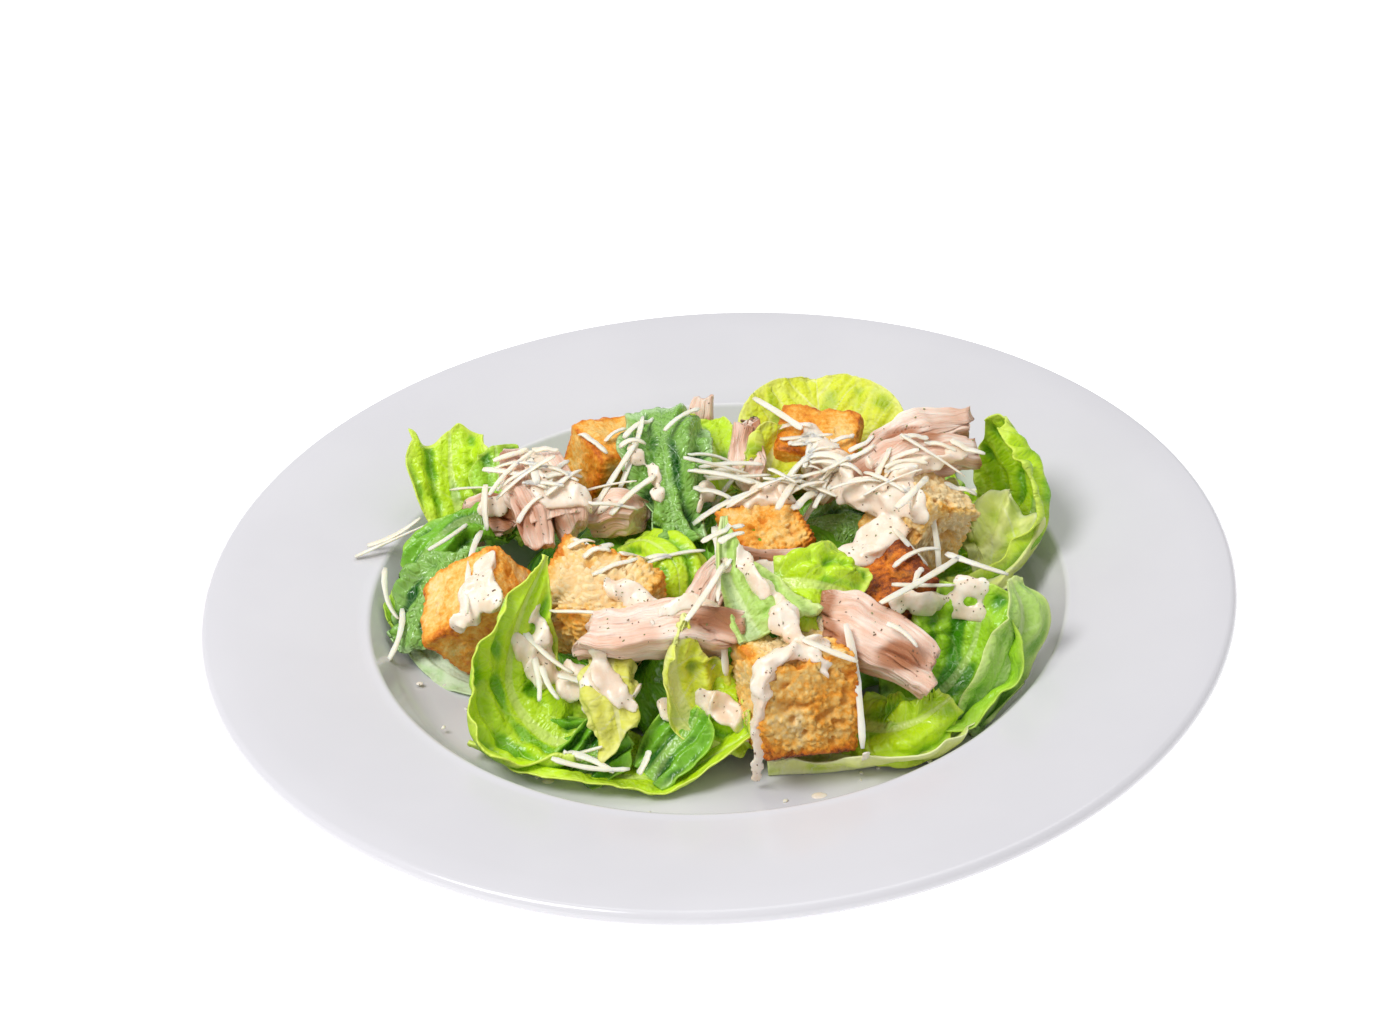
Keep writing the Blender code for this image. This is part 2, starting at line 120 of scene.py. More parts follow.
def on_object(tree):
    return add_node(tree, "TexCoord", {}).outputs["Object"]


def blend_colours(tree, share, first, second):
    """A colour that goes from first to second as share goes from 0 to 1."""
    first, second = (c if isinstance(c, bpy.types.NodeSocket) else (*c, 1.0) for c in (first, second))
    inputs = {0: share, 6: first, 7: second}  # by number, as other inputs have the same names
    return add_node(tree, "Mix", inputs, data_type="RGBA", clamp_factor=True).outputs[2]


def spread(tree, value, low, high, to_low=0.0, to_high=1.0):
    """The value moved from the range low to high into the range to_low to to_high, and kept in it."""
    inputs = {"Value": value, "From Min": low, "From Max": high, "To Min": to_low, "To Max": to_high}
    return add_node(tree, "MapRange", inputs, interpolation_type="SMOOTHSTEP").outputs["Result"]


def grain(tree, scale, detail=2.0, rough=0.5, vector=None):
    """Smooth noise that varies over scale metres."""
    inputs = {"Vector": vector or on_object(tree), "Scale": 1 / scale, "Detail": detail, "Roughness": rough}
    return add_node(tree, "TexNoise", inputs).outputs["Fac"]


def raised(tree, height, strength, distance, **base):
    """The way the surface looks once height has raised it, from the Normal in base if there is one."""
    inputs = {"Height": height, "Strength": strength, "Distance": distance, **base}
    return add_node(tree, "Bump", inputs).outputs["Normal"]


def porcelain_finish():
    material, tree, shader = new_finish("porcelain_glaze")
    cloud = spread(tree, grain(tree, 0.04, 3.0), 0.3, 0.7)
    glaze = blend_colours(tree, cloud, (0.640, 0.631, 0.664), (0.660, 0.651, 0.684))
    height = add_node(tree, "SeparateXYZ", {"Vector": on_object(tree)}).outputs["Z"]
    bare = spread(tree, height, 0.0002, 0.0006, 1.0, 0.0)
    feed(tree, shader, {
        "Base Color": blend_colours(tree, bare, glaze, (0.70, 0.67, 0.62)),
        "Roughness": spread(tree, bare, 0.0, 1.0, 0.16, 0.75),
        "Normal": raised(tree, grain(tree, 0.02, 1.0), 0.06, 0.0006),
        "IOR": 1.5,
    })
    return material


def make_plate():
    bm = bmesh.new()
    ring = [bm.verts.new((radius, 0.0, height)) for radius, height in plate_profile()]
    turned = ring + [bm.edges.new(pair) for pair in zip(ring, ring[1:])]
    bmesh.ops.spin(bm, geom=turned, axis=(0, 0, 1), angle=math.tau, steps=PLATE_STEPS, use_merge=True)
    bmesh.ops.remove_doubles(bm, verts=bm.verts, dist=1e-6)
    bmesh.ops.recalc_face_normals(bm, faces=bm.faces)
    plate = add_piece("porcelain_plate", bm, porcelain_finish())
    plate.data.set_sharp_from_angle(angle=math.radians(60))
    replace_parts(plate, "plate")


make_plate()

# ----------------------------------------------------------------------------------------------------------
# The salad leaves: hearts of romaine, washed, pulled apart and torn. A blade is thin, waxy and blistered
# between its veins, with a thick pale rib, and its margin has outgrown it, so it frills.
RIB_THICKNESS = 0.0021  # at its base
THIN_SHARE = 0.2  # the blade's own thickness, as a share of it
VEIN_SPACING = 0.0085
VEINLET_SIZE = 0.0016
BLADE_CELLS = (104, 68)  # along and across
WELL_FLOOR = 0.007
WELL_DEPTH = 0.013
WELL_EDGE = 0.0203
RIM_SLOPE = 0.14


def mm(*values):
    """Millimetres as a vector in metres, or as one length."""
    metres = [v * 0.001 for v in values]
    return Vector(metres) if len(metres) > 1 else metres[0]


def stored(tree, key, output="Fac"):
    """What the mesh stores under a name at each point."""
    return add_node(tree, "Attribute", {}, attribute_name=key, attribute_type="GEOMETRY").outputs[output]


def along(points, t):
    """A point at share t of the smooth (Catmull-Rom) curve through points."""
    spans = len(points) - 1
    k = min(int(t * spans), spans - 1)
    f = t * spans - k
    p1, p2 = points[k], points[k + 1]
    p0 = points[k - 1] if k else p1 * 2 - p2
    p3 = points[k + 2] if k + 2 <= spans else p2 * 2 - p1
    squared, cubed = 2 * p0 - 5 * p1 + 4 * p2 - p3, 3 * p1 - p0 - 3 * p2 + p3
    return 0.5 * (2 * p1 + (p2 - p0) * f + squared * f**2 + cubed * f**3)


def length_of(points, steps):
    return sum((along(points, (k + 1) / steps) - along(points, k / steps)).length for k in range(steps))


def frame_at(spine, face, t):
    """(point, along, out of the upper side, to the side) at share t of a spine, where the look is face."""
    point = along(spine, t)
    step = (along(spine, min(t + 0.02, 1.0)) - along(spine, max(t - 0.02, 0.0))).normalized()
    wanted = along(face, t)
    out = (wanted - step * wanted.dot(step)).normalized()
    return point, step, out, out.cross(step)


def ease(x, low=0.0, high=1.0):
    """0 below low, 1 above high, and smooth between."""
    s = min(max((x - low) / (high - low), 0.0), 1.0)
    return s * s * (3 - 2 * s)


def blade_width(t, base, widest, tip, point, sharp):
    """The half width of a blade at share t, as a share of its widest."""
    if t < widest:
        return base + (1 - base) * ease(t / widest)
    s = (t - widest) / (1 - widest)
    return max(max(1 - s**point, 0.0) ** sharp, tip)


def tree_of(pieces):
    """A search tree over pieces, to find what is nearest or underneath."""
    joined = bmesh.new()
    for piece in pieces:
        joined.from_mesh(piece.data)
    tree = BVHTree.FromBMesh(joined)
    joined.free()
    return tree


laid_in = tree_of([
    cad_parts[name]
    for kind in ("crouton_", "chicken_")
    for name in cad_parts
    if name.startswith(kind)
])


def pressed(co, clearance=0.0006, deepest=0.012):
    """A leaf's point, pushed out of the bread or meat that lies on it."""
    near, normal, _, distance = laid_in.find_nearest(co)
    if near is None or distance > deepest:
        return co
    height = (co - near).dot(normal)
    return near + normal * clearance if height < clearance else co


def in_well(co, lift=0.0003):
    """A leaf's point, kept above the porcelain."""
    radius = math.hypot(co.x, co.y)
    if radius > WELL_RADIUS:
        floor = WELL_EDGE + (radius - WELL_RADIUS) * RIM_SLOPE + lift
    else:
        floor = WELL_FLOOR + WELL_DEPTH * ease(radius, 0.0775, 0.0925) + lift
    return Vector((co.x, co.y, max(co.z, floor)))


def romaine(
    name, seed, rib, face, half_width, finish, curl, base=0.6, widest=0.62, tip=0.3, point=2.4, sharp=0.5,
    sides=(1, 1), torn=0.05, frill=1.6, frill_length=9, pleats=0.6, pleat_width=7, crumple=0.8, blister=0.25,
    rib_width=2.4, shaded=0.35, press=True,
):
    """One leaf. rib is its midrib from base to tip, and face is what its upper side looks at along the rib.
    curl is how far its two sides bend up, in degrees. base, widest, tip, point and sharp shape its outline,
    sides widens one side, and torn makes it ragged. frill, pleats, crumple and blister are heights in
    millimetres: of the margin, of folds along the rib, of creased pillows and of the net of veins. The
    blade's colour gets painted shade in the valleys of pleats and pillows and is lighter on their crests.
    shaded paints shade on what lies low in the heap, and paints light there when it is below zero."""
    spine = [mm(*p) for p in rib]
    looks = [Vector(f).normalized() for f in face]
    length = length_of(spine, 12)
    bm = bmesh.new()
    bmesh.ops.create_grid(bm, x_segments=BLADE_CELLS[0], y_segments=BLADE_CELLS[1], size=1.0)
    flat_place = bm.verts.layers.float_vector.new("blade")
    layers = {key: bm.verts.layers.float.new(key) for key in ("vein", "rib", "rim", "fold_and_shade")}
    rows = {}
    shift = Vector((seed * 7.31, seed * 3.77, seed * 1.93))

    def wave(u, v, size, layer):
        return noise.noise(shift + Vector((u / mm(size), v / mm(size), layer)))

    for vert in bm.verts:
        t, s = (vert.co.x + 1) / 2, vert.co.y
        row = round(t * BLADE_CELLS[0])
        if row not in rows:
            reach = mm(half_width) * blade_width(t, base, widest, tip, point, sharp)
            rows[row] = (*frame_at(spine, looks, t), reach)
        middle, step, out, across, reach = rows[row]
        side = 1 if s > 0 else -1
        ragged = wave(t * length, side * 0.09, 15, 1) * 1.8 + wave(t * length, side * 0.09, 5, 2) * 0.6
        reach *= (1 + torn * ragged * 2) * sides[s > 0]
        u, v = t * length, s * reach
        u += (wave(0, v, 9, 3) * 0.07 + wave(0, v, 3.5, 4) * 0.018) * torn * ease(t, 0.75, 1.0)
        bend = math.radians(curl[s > 0]) * abs(s) ** 1.15
        flat = math.sin(bend) / bend if abs(bend) > 1e-3 else 1.0
        lift = (1 - math.cos(bend)) / bend if abs(bend) > 1e-3 else 0.0
        place = middle + step * (u - t * length) + across * (v * flat) + out * (abs(v) * lift)
        normal = out * math.cos(bend) - across * (side * math.sin(bend))
        # side veins run from the rib up to the margin, and the blade swells between them
        slant = u - abs(v) * 0.85 - (v * v) * 9.0 + side * VEIN_SPACING * 0.25 + wave(u, v, 16, 5) * 0.0025
        vein = ease(abs((slant / VEIN_SPACING) % 1.0 - 0.5) * 2, 0.84, 1.0)
        near = noise.voronoi(shift + Vector((slant / 0.0075, v / 0.0062, 0)))[0]
        groove = 1 - ease(near[1] - near[0], 0.03, 0.42)
        half_rib = mm(rib_width) * (0.5 * (1 - t) + 0.12)
        on_rib = 1 - ease(abs(v), half_rib * 0.8, half_rib * 1.8)
        off_rib = ease(abs(v), half_rib, half_rib + 0.005)
        swell = (1 - max(groove, vein * 0.9)) * off_rib
        pleat = math.sin((abs(v) / mm(pleat_width) + wave(u, v * 0.6, 18, 6) * 0.8) * math.tau)
        pillow = min(abs(wave(u, v, 13, 7)) * 2.6, 1.0) + min(abs(wave(u, v, 6.5, 8)) * 1.1, 0.5) - 0.6
        edge = max(abs(s) ** 3 * ease(t, 0.0, 0.3), ease(t, 0.78, 1.0) ** 2)
        ruffle = wave(u, v, frill_length, 9) * 1.9 + wave(u, v, frill_length * 0.45, 10) * 0.7
        folds = pleat * pleats * ease(abs(s), 0.1, 0.5) + pillow * crumple * off_rib
        rise = swell * blister + folds * (1 - 0.6 * edge) + edge * frill * ruffle - on_rib * 0.35
        rise += wave(u, v, 22, 11) * 3.2 * ease(abs(s), 0.05, 0.6)  # the whole blade sways
        skew = wave(u, v, frill_length, 12) * edge * frill * 0.9
        co = place + normal * mm(rise) + step * mm(skew)
        vert.co = in_well(pressed(co) if press else co)
        vert[flat_place] = (u, v, seed * 0.37)
        vert[layers["vein"]] = max(vein * (1 - 0.5 * abs(s)), groove * 0.4)
        vert[layers["rib"]] = max(on_rib, (1 - ease(t, 0.0, 0.35)) * 0.6)
        vert[layers["rim"]] = max(abs(s) ** 9, ease(t, 0.93, 1.0))
        # painted shade: the tone darkens the valleys of the pleats and pillows and lightens their crests
        fold_shade_tone = 0.66 + 0.4 * pleat * min(pleats, 1.0) + pillow * 0.6
        # painted shade on what lies low in the heap, or painted light there where shaded is below zero
        fold_shade_tone -= shaded * (1 - ease(vert.co.z, 0.008, 0.022))
        vert[layers["fold_and_shade"]] = min(max(fold_shade_tone, 0.0), 1.0)
    flesh = [0.9 * vert[layers["rib"]] * (1 - 0.6 * vert[flat_place][0] / length) for vert in bm.verts]
    leaf = add_piece("leaf_" + name, bm, finish)
    group = leaf.vertex_groups.new(name="flesh")
    for index, weight in enumerate(flesh):
        group.add([index], max(THIN_SHARE, weight), "REPLACE")
    thick = leaf.modifiers.new("Thickness", "SOLIDIFY")
    thick.thickness = RIB_THICKNESS
    thick.offset = -1.0
    thick.vertex_group = "flesh"
    return leaf


def veinlet_group():
    """The net of fine veins and the small pillows between them, in the blade's own flat coordinates."""
    group = bpy.data.node_groups.new("veinlets", "ShaderNodeTree")
    for name in ("Net", "Pillows", "Cloud", "Creases"):
        group.interface.new_socket(name, in_out="OUTPUT", socket_type="NodeSocketFloat")
    flat = stored(group, "blade", "Vector")
    bent = {0: grain(group, 0.006, vector=flat), "Scale": 0.0018}
    push = add_node(group, "VectorMath", bent, operation="SCALE").outputs[0]
    moved = add_node(group, "VectorMath", {0: flat, 1: push}, operation="ADD").outputs[0]
    cells = {"Vector": moved, "Scale": 1 / VEINLET_SIZE}
    edge = add_node(group, "TexVoronoi", cells, feature="DISTANCE_TO_EDGE").outputs["Distance"]
    feed(group, group.nodes.new("NodeGroupOutput"), {
        "Net": spread(group, edge, 0.0, 0.12, 1.0, 0.0),
        "Pillows": spread(group, edge, 0.0, 0.4),
        "Cloud": grain(group, 0.013, 3.0, vector=flat),
        "Creases": grain(group, 0.0042, 2.0, 0.55, vector=flat),
    })
    return group


veinlets = veinlet_group()


def leaf_finish(
    name, light, deep, rib, rim, gloss=0.36, through=0.2, relief=0.35, veins=0.25, ribs=0.45, shine=0.3
):
    """A kind of leaf's skin: light on its swells, deep in its folds as painted shade, paler on rib and
    margin.
    """
    material, tree, shader = new_finish("leaf_" + name)
    net = add_node(tree, "Group", {}, node_tree=veinlets).outputs
    cloud = spread(tree, net["Cloud"], 0.3, 0.7, -0.25, 0.25)
    # painted shade: the stored tone puts the deep colour in folds and low in the heap; cloud varies it at
    # random
    height = add_node(tree, "Math", {0: stored(tree, "fold_and_shade"), 1: cloud}, operation="ADD").outputs[0]
    colour = blend_colours(tree, spread(tree, height, 0.15, 0.75), deep, light)
    colour = blend_colours(tree, spread(tree, stored(tree, "rim"), 0.0, 0.9, 0.0, 0.85), colour, rim)
    for pale in (
        spread(tree, net["Net"], 0.2, 1.0, 0.0, 0.10),
        spread(tree, stored(tree, "vein"), 0.15, 1.0, 0.0, veins),
        spread(tree, stored(tree, "rib"), 0.25, 1.0, 0.0, ribs),
    ):
        colour = blend_colours(tree, pale, colour, rib)
    creased = raised(tree, net["Creases"], 0.6, 0.0022)
    normal = raised(tree, net["Pillows"], relief, 0.00035, Normal=creased)
    feed(tree, shader, {
        "Base Color": colour,
        "Roughness": spread(tree, net["Cloud"], 0.3, 0.7, gloss, gloss + 0.14),
        "Normal": normal,
        "Specular IOR Level": shine,
    })
    glow = add_node(tree, "BsdfTranslucent", {"Color": colour, "Normal": normal}).outputs[0]
    skin = add_node(tree, "MixShader", {0: through, 1: shader.outputs[0], 2: glow}).outputs[0]
    feed(tree, tree.nodes["Material Output"], {"Surface": skin})
    return material


# each finish gives a light colour, a deep one used as painted shade in folds and low places, then rib and
# rim
lime = leaf_finish(
    "lime", (0.62, 0.90, 0.012), (0.22, 0.55, 0.004), (0.86, 0.94, 0.38), (0.80, 0.96, 0.12),
    shine=0.5, gloss=0.24, through=0.18,
)
yellow = leaf_finish(
    "yellow", (0.84, 0.92, 0.05), (0.44, 0.62, 0.010), (0.97, 0.98, 0.62), (0.93, 0.98, 0.20), veins=0.7
)
pale = leaf_finish(
    "pale", (0.90, 0.96, 0.32), (0.66, 0.82, 0.07), (0.96, 0.98, 0.78), (0.94, 0.98, 0.55),
    veins=0.5, relief=0.2,
)
straw = leaf_finish(
    "straw", (0.84, 0.84, 0.13), (0.52, 0.54, 0.03), (0.94, 0.93, 0.60), (0.92, 0.92, 0.30), veins=0.6
)
washed = leaf_finish(
    "washed", (0.80, 0.94, 0.66), (0.60, 0.84, 0.42), (0.84, 0.94, 0.74), (0.72, 0.90, 0.55),
    veins=0.3, relief=0.2,
)
green = leaf_finish(
    "green", (0.42, 0.78, 0.025), (0.07, 0.33, 0.003), (0.72, 0.88, 0.36), (0.62, 0.88, 0.10),
    shine=0.5, gloss=0.24, through=0.18,
)
deep_green = leaf_finish(
    "deep_green", (0.22, 0.58, 0.02), (0.02, 0.17, 0.002), (0.50, 0.70, 0.20), (0.45, 0.78, 0.08),
    shine=0.6, gloss=0.22, through=0.22,
)
dark = leaf_finish(
    "dark", (0.26, 0.53, 0.08), (0.010, 0.12, 0.004), (0.64, 0.80, 0.48), (0.50, 0.74, 0.34),
    gloss=0.14, through=0.12, relief=0.9, shine=0.65, veins=0.3, ribs=0.15,
)
sage = leaf_finish(
    "sage", (0.54, 0.80, 0.18), (0.26, 0.56, 0.06), (0.88, 0.94, 0.62), (0.78, 0.92, 0.32),
    gloss=0.3, shine=0.4,
)

romaine("back_left", 1, [(-66, 30, 16), (-69, 38, 23), (-71, 46, 31), (-71, 54, 38)],
    [(0.2, -0.7, 0.7), (0.1, -0.7, 0.7)], 13, lime, (25, 35), widest=0.75, tip=0.85, torn=0.06, frill=1.3,
    pleats=1.2, crumple=1.6)
romaine("back_left_green", 31, [(-56, 32, 22), (-57, 39, 30), (-58, 46, 37)],
    [(0.1, -0.8, 0.6), (0, -0.7, 0.7)], 9, green, (30, 20), base=0.9, tip=0.6, frill=0.6, press=False)
romaine("left_upper", 2, [(-56, 25, 27), (-66, 22, 32), (-75, 16, 29), (-83, 11, 21)],
    [(0, -0.3, 1), (-0.4, -0.4, 0.9)], 10, deep_green, (-35, -45), base=0.45, frill=1, pleats=1.4,
    crumple=1.6)
romaine("left_lower", 3, [(-58, 8, 30), (-68, 2, 31), (-77, -3, 25), (-84, -9, 14)],
    [(0, -0.2, 1), (-0.5, -0.4, 0.8)], 12, dark, (-40, -40), base=0.45, pleats=1.2, crumple=2.4, blister=1.5)
romaine("left_edge", 37, [(-79, 17, 21), (-82, 9, 19), (-83, 0, 15), (-80, -8, 10)],
    [(-0.4, -0.2, 0.9), (-0.4, -0.4, 0.8)], 6, green, (-30, -20), pleats=1.2, crumple=1)
romaine("left_under", 32, [(-82, 4, 13), (-77, -7, 10.5), (-70, -16, 9.5), (-58, -25, 9)],
    [(-0.2, -0.2, 1), (-0.3, -0.3, 0.9)], 5, washed, (10, 10), base=0.8, frill=1.2, pleats=0.5, crumple=1.2,
    shaded=0)
romaine("front_cup", 4,
    [(-34, -53, 11), (-46, -48, 12.5), (-53.5, -40, 21.5), (-50.5, -34, 36), (-42, -26, 52)],
    [(0.1, -0.1, 1), (0.4, -0.6, 0.7), (0.45, -0.9, 0.2), (0.4, -0.9, 0.2)], 19, lime, (35, 62), widest=0.4,
    tip=0.02, point=1.15, sharp=0.85, sides=(0.95, 1.05), frill=1.2, pleats=1.2, crumple=1.9, blister=0.4,
    shaded=0.2)
romaine("front_cup_low", 33, [(-56, -39, 15), (-50, -45, 12), (-41, -50, 11), (-28, -53, 14)],
    [(0.3, -0.2, 1), (0, -0.5, 0.9)], 7, deep_green, (50, 20), base=0.8, tip=0.6, pleats=1.6, pleat_width=4,
    crumple=1.4)
# painted light: shaded below zero lightens the low parts of this leaf
romaine("front_wide", 5,
    [(-61.5, -45.5, 11), (-50, -52, 9.5), (-30, -61, 9), (-11, -62, 9.5), (12, -60, 24)],
    [(0.1, 0.1, 1), (-0.3, 0.1, 1)], 17, lime, (30, 30), base=0.7, widest=0.3, tip=0.06, point=1.4,
    sides=(0.62, 1.0), frill=0.9, crumple=1.2, shaded=-0.3)
romaine("front_fold", 34, [(-38, -60, 9), (-32, -57, 13), (-25, -53, 17)],
    [(-0.4, -0.6, 0.7), (-0.2, -0.7, 0.7)], 8, deep_green, (20, 40), base=0.8, tip=0.6, pleats=1.6,
    pleat_width=4, crumple=2)
romaine("front_fold_right", 38, [(-20, -63, 9), (-15, -60, 14), (-9, -56, 18), (-6, -53, 22)],
    [(-0.6, -0.6, 0.6), (-0.4, -0.7, 0.6)], 7, deep_green, (35, 40), base=0.8, tip=0.5, pleats=1,
    pleat_width=4, crumple=1.4)
romaine("front_frilly", 6, [(-28, -41, 33), (-28, -48, 31), (-27, -54, 27), (-26, -59, 20)],
    [(0, -0.3, 1), (0.1, -1, 0.4)], 9, straw, (-55, -55), widest=0.75, tip=0.8, torn=0.12, frill=2.6,
    frill_length=6, pleats=0.8, pleat_width=4.5, crumple=2)
romaine("front_middle", 7, [(2, -57, 13), (-9, -55, 19), (-12.5, -51, 33), (-8, -48, 46)],
    [(0.2, -0.5, 0.8), (0.4, -0.9, 0.3)], 19, yellow, (15, 20), base=0.9, widest=0.45, tip=0.03, point=1.3,
    sharp=1, sides=(1.0, 0.2), frill=1.8, frill_length=6, pleats=1.6, pleat_width=6, crumple=2.6,
    rib_width=5, shaded=0)
romaine("front_middle_inner", 36, [(-10, -48, 24), (-2, -52, 22), (6, -55, 18), (12, -56, 13)],
    [(0, -0.5, 0.9), (0.1, -0.6, 0.8)], 9, lime, (-20, 30), base=0.8, tip=0.6, pleats=1.2, crumple=1.4)
romaine("front_right_low", 8, [(10, -61, 8.6), (26, -62, 8.8), (44, -61, 10), (62, -53, 11)],
    [(0, 0.2, 1), (-0.2, 0.1, 1)], 13, pale, (66, 30), base=0.45, tip=0.5, sides=(0.85, 1.0), frill=1.2,
    blister=0.2, shaded=0)
romaine("front_right", 9, [(40, -44, 12), (53, -44, 14), (63, -38, 23), (67, -31, 37)],
    [(0, -0.2, 1), (-0.4, -0.8, 0.4)], 18, green, (50, 35), base=0.7, tip=0.6, frill=1, pleats=0.9,
    crumple=3.4, blister=0.6)
romaine("front_right_crumple", 35, [(33, -52, 13), (40, -57, 15), (48, -57, 17), (57, -51, 19)],
    [(0, -0.5, 0.9), (0, -0.5, 0.8)], 9, lime, (-55, -45), base=0.9, tip=0.6, frill=0.8, crumple=3.2,
    blister=0.6, shaded=0.1)
romaine("front_right_fold", 29,
    [(61, -54, 9), (67, -50, 16), (72, -45, 25), (76, -39, 33), (74, -34, 42)],
    [(0.4, -0.7, 0.6), (0.7, -0.6, 0.3)], 9, sage, (-15, 10), base=0.7, widest=0.5, tip=0.5, frill=0.8,
    crumple=1.2, blister=0.1)
romaine("right", 10, [(58, 4, 14), (73, 9, 15), (85, 18, 24), (86, 26, 36), (79, 31, 48)],
    [(-0.2, 0.1, 1), (-0.9, -0.4, -0.1)], 19, lime, (75, 60), frill=1.4, pleats=1.8, pleat_width=6)
# painted light: shaded below zero lightens these lobes, which lie in the crouton's shade
romaine("right_lobes", 30, [(68, -3, 20), (73, -2, 21), (80, 2, 25), (86, 9, 31)],
    [(-0.3, -0.9, 0.45), (-0.3, -0.9, 0.45)], 26, pale, (-20, -25), base=0.85, widest=0.35, sides=(0.2, 1.0),
    torn=0.14, frill=4.5, frill_length=7, pleats=3, crumple=2, shaded=-0.6, press=False)
romaine("back", 11, [(31, 38, 24), (31, 45, 32), (31, 54, 39), (31, 64, 44)],
    [(0, -0.6, 0.8), (0, -0.5, 0.9)], 24, yellow, (25, 25), base=0.7, widest=0.4, tip=0.12, point=2.2,
    torn=0.01, frill=0.7, pleats=0.3, blister=0.8, rib_width=1.2, press=False)
romaine("back_bright", 12, [(6, 14, 28), (3, 26, 38), (0, 37, 44), (-3, 44, 45)],
    [(0.2, -0.5, 0.8), (0.4, 0, 0.9)], 8, lime, (30, 30), base=0.7)
romaine("back_small", 13, [(13, 18, 28), (14, 24, 36), (17, 30, 42), (22, 36, 46)],
    [(0.1, -0.8, 0.6), (0, -0.8, 0.4)], 8, yellow, (40, 40))
romaine("rolled", 14, [(-24, 6, 32), (-17, -2, 38), (-10, -12, 36), (-10, -20, 26)],
    [(0, -0.2, 1), (0.4, -0.9, 0.4)], 13, lime, (-60, -70), pleats=1.2, pleat_width=5, crumple=0.2,
    rib_width=0.8)
romaine("dark_middle", 15, [(20, 10, 28), (30, 11, 32), (40, 9, 30), (48, 4, 22)],
    [(0, -0.2, 1), (0.2, -0.5, 0.8)], 11, dark, (-50, -40))
REAR = dict(torn=0.08, frill=2.6, frill_length=12, pleats=1.4, pleat_width=9, crumple=2.6, shaded=0.15)
romaine("rear_left", 16, [(-36, 34, 24), (-44, 48, 25), (-50, 58, 20), (-54, 66, 12)],
    [(0, 0, 1), (-0.4, 0.6, 0.6)], 25, green, (-25, -30), base=0.8, **REAR)
romaine("rear_middle", 17, [(-4, 36, 30), (-5, 50, 32), (-6, 63, 25), (-7, 73, 13)],
    [(0, 0, 1), (0, 0.8, 0.5)], 27, lime, (-25, -25), base=0.8, **REAR)
romaine("rear_right", 18, [(36, 34, 26), (44, 47, 28), (50, 58, 22), (54, 66, 12)],
    [(0, 0, 1), (0.4, 0.6, 0.6)], 25, green, (-30, -25), base=0.8, **REAR)
romaine("rear_side", 19, [(60, 22, 18), (66, 32, 20), (70, 41, 16), (74, 47, 11)],
    [(0, 0, 1), (0.6, 0.4, 0.6)], 17, lime, (-30, -30), base=0.7, **REAR)
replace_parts(romaine("top_dark", 20, [(-8, -1, 35), (-11, 10, 43), (-12, 25, 50), (-12, 43, 51)],
    [(0, -0.7, 0.7), (0, -0.4, 1)], 13, dark, (-35, -30), base=0.5, widest=0.7, tip=0.8, torn=0.03,
    frill=0.7, pleats=2, crumple=4.2, blister=1.2, rib_width=0.8), "leaf_dark_top")
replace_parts(romaine("curl_pale_top", 21, [(8, -48, 38), (5, -41, 43), (2, -32, 49), (3, -20, 58)],
    [(0.1, -0.8, 0.6), (0.1, -0.9, 0.4)], 14, sage, (10, 10), base=1, widest=0.15, tip=0.03, point=1,
    sharp=1, sides=(1.3, 0.3), frill=1.2, pleats=1.3, pleat_width=6, crumple=2.4, blister=0.6,
    rib_width=3.4, press=False), "leaf_curl_pale")
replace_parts(romaine("curl_bright_top", 22, [(14, -33, 44), (22, -35, 45), (29, -35, 43), (36, -34, 39)],
    [(0, -0.6, 0.8), (0.3, -0.7, 0.6)], 12, lime, (-35, -35), base=0.7, tip=0.75, frill=1.8, frill_length=7,
    pleats=0.8, pleat_width=6, crumple=3, blister=0.8, press=False), "leaf_curl_bright")


# the inside of the heap: the same leaves pressed together, seen only through the gaps
HEAP_CENTRE = (-2, -4)
HEAP_REACH = [52, 54, 52, 52, 52, 54, 52, 50, 46, 44, 46, 48]  # millimetres, every 30 degrees from +X


def heap_reach(angle):
    place = (angle / math.tau % 1.0) * len(HEAP_REACH)
    low = int(place)
    f = ease(place - low)
    return HEAP_REACH[low % len(HEAP_REACH)] * (1 - f) + HEAP_REACH[(low + 1) % len(HEAP_REACH)] * f


def make_bed():
    bm = bmesh.new()
    bmesh.ops.create_uvsphere(bm, u_segments=160, v_segments=80, radius=1.0)
    flat_place = bm.verts.layers.float_vector.new("blade")
    vein_layer, fold_shade_layer = (bm.verts.layers.float.new(key) for key in ("vein", "fold_and_shade"))
    for vert in bm.verts:
        angle = math.atan2(vert.co.y, vert.co.x)
        reach = heap_reach(angle) * math.hypot(vert.co.x, vert.co.y)
        x, y = reach * math.cos(angle), reach * math.sin(angle)
        height = vert.co.z * (17 + 0.16 * y if vert.co.z > 0 else 4)
        at = mm(HEAP_CENTRE[0] + x, HEAP_CENTRE[1] + y, 11.5 + height)
        fold_and_shade = 1 - abs(noise.noise(at / 0.013 + Vector((3, 1, 4)))) * 2.2
        crease = 1 - abs(noise.noise(at / 0.006 + Vector((9, 2, 6)))) * 2.0
        at += vert.co.normalized() * (fold_and_shade * 0.0035 + crease * 0.0012)
        vert.co = in_well(pressed(at))
        vert[flat_place] = (at.x + at.z, at.y - at.z, 0)
        vert[vein_layer] = ease(crease, 0.75, 1.0) * 0.5
        # painted shade: the bed is coloured darker where its folds sink and lighter where they rise
        vert[fold_shade_layer] = ease(fold_and_shade, -0.5, 1.0)
    return add_piece("leaf_bed", bm, deep_green)


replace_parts(make_bed(), "lettuce")

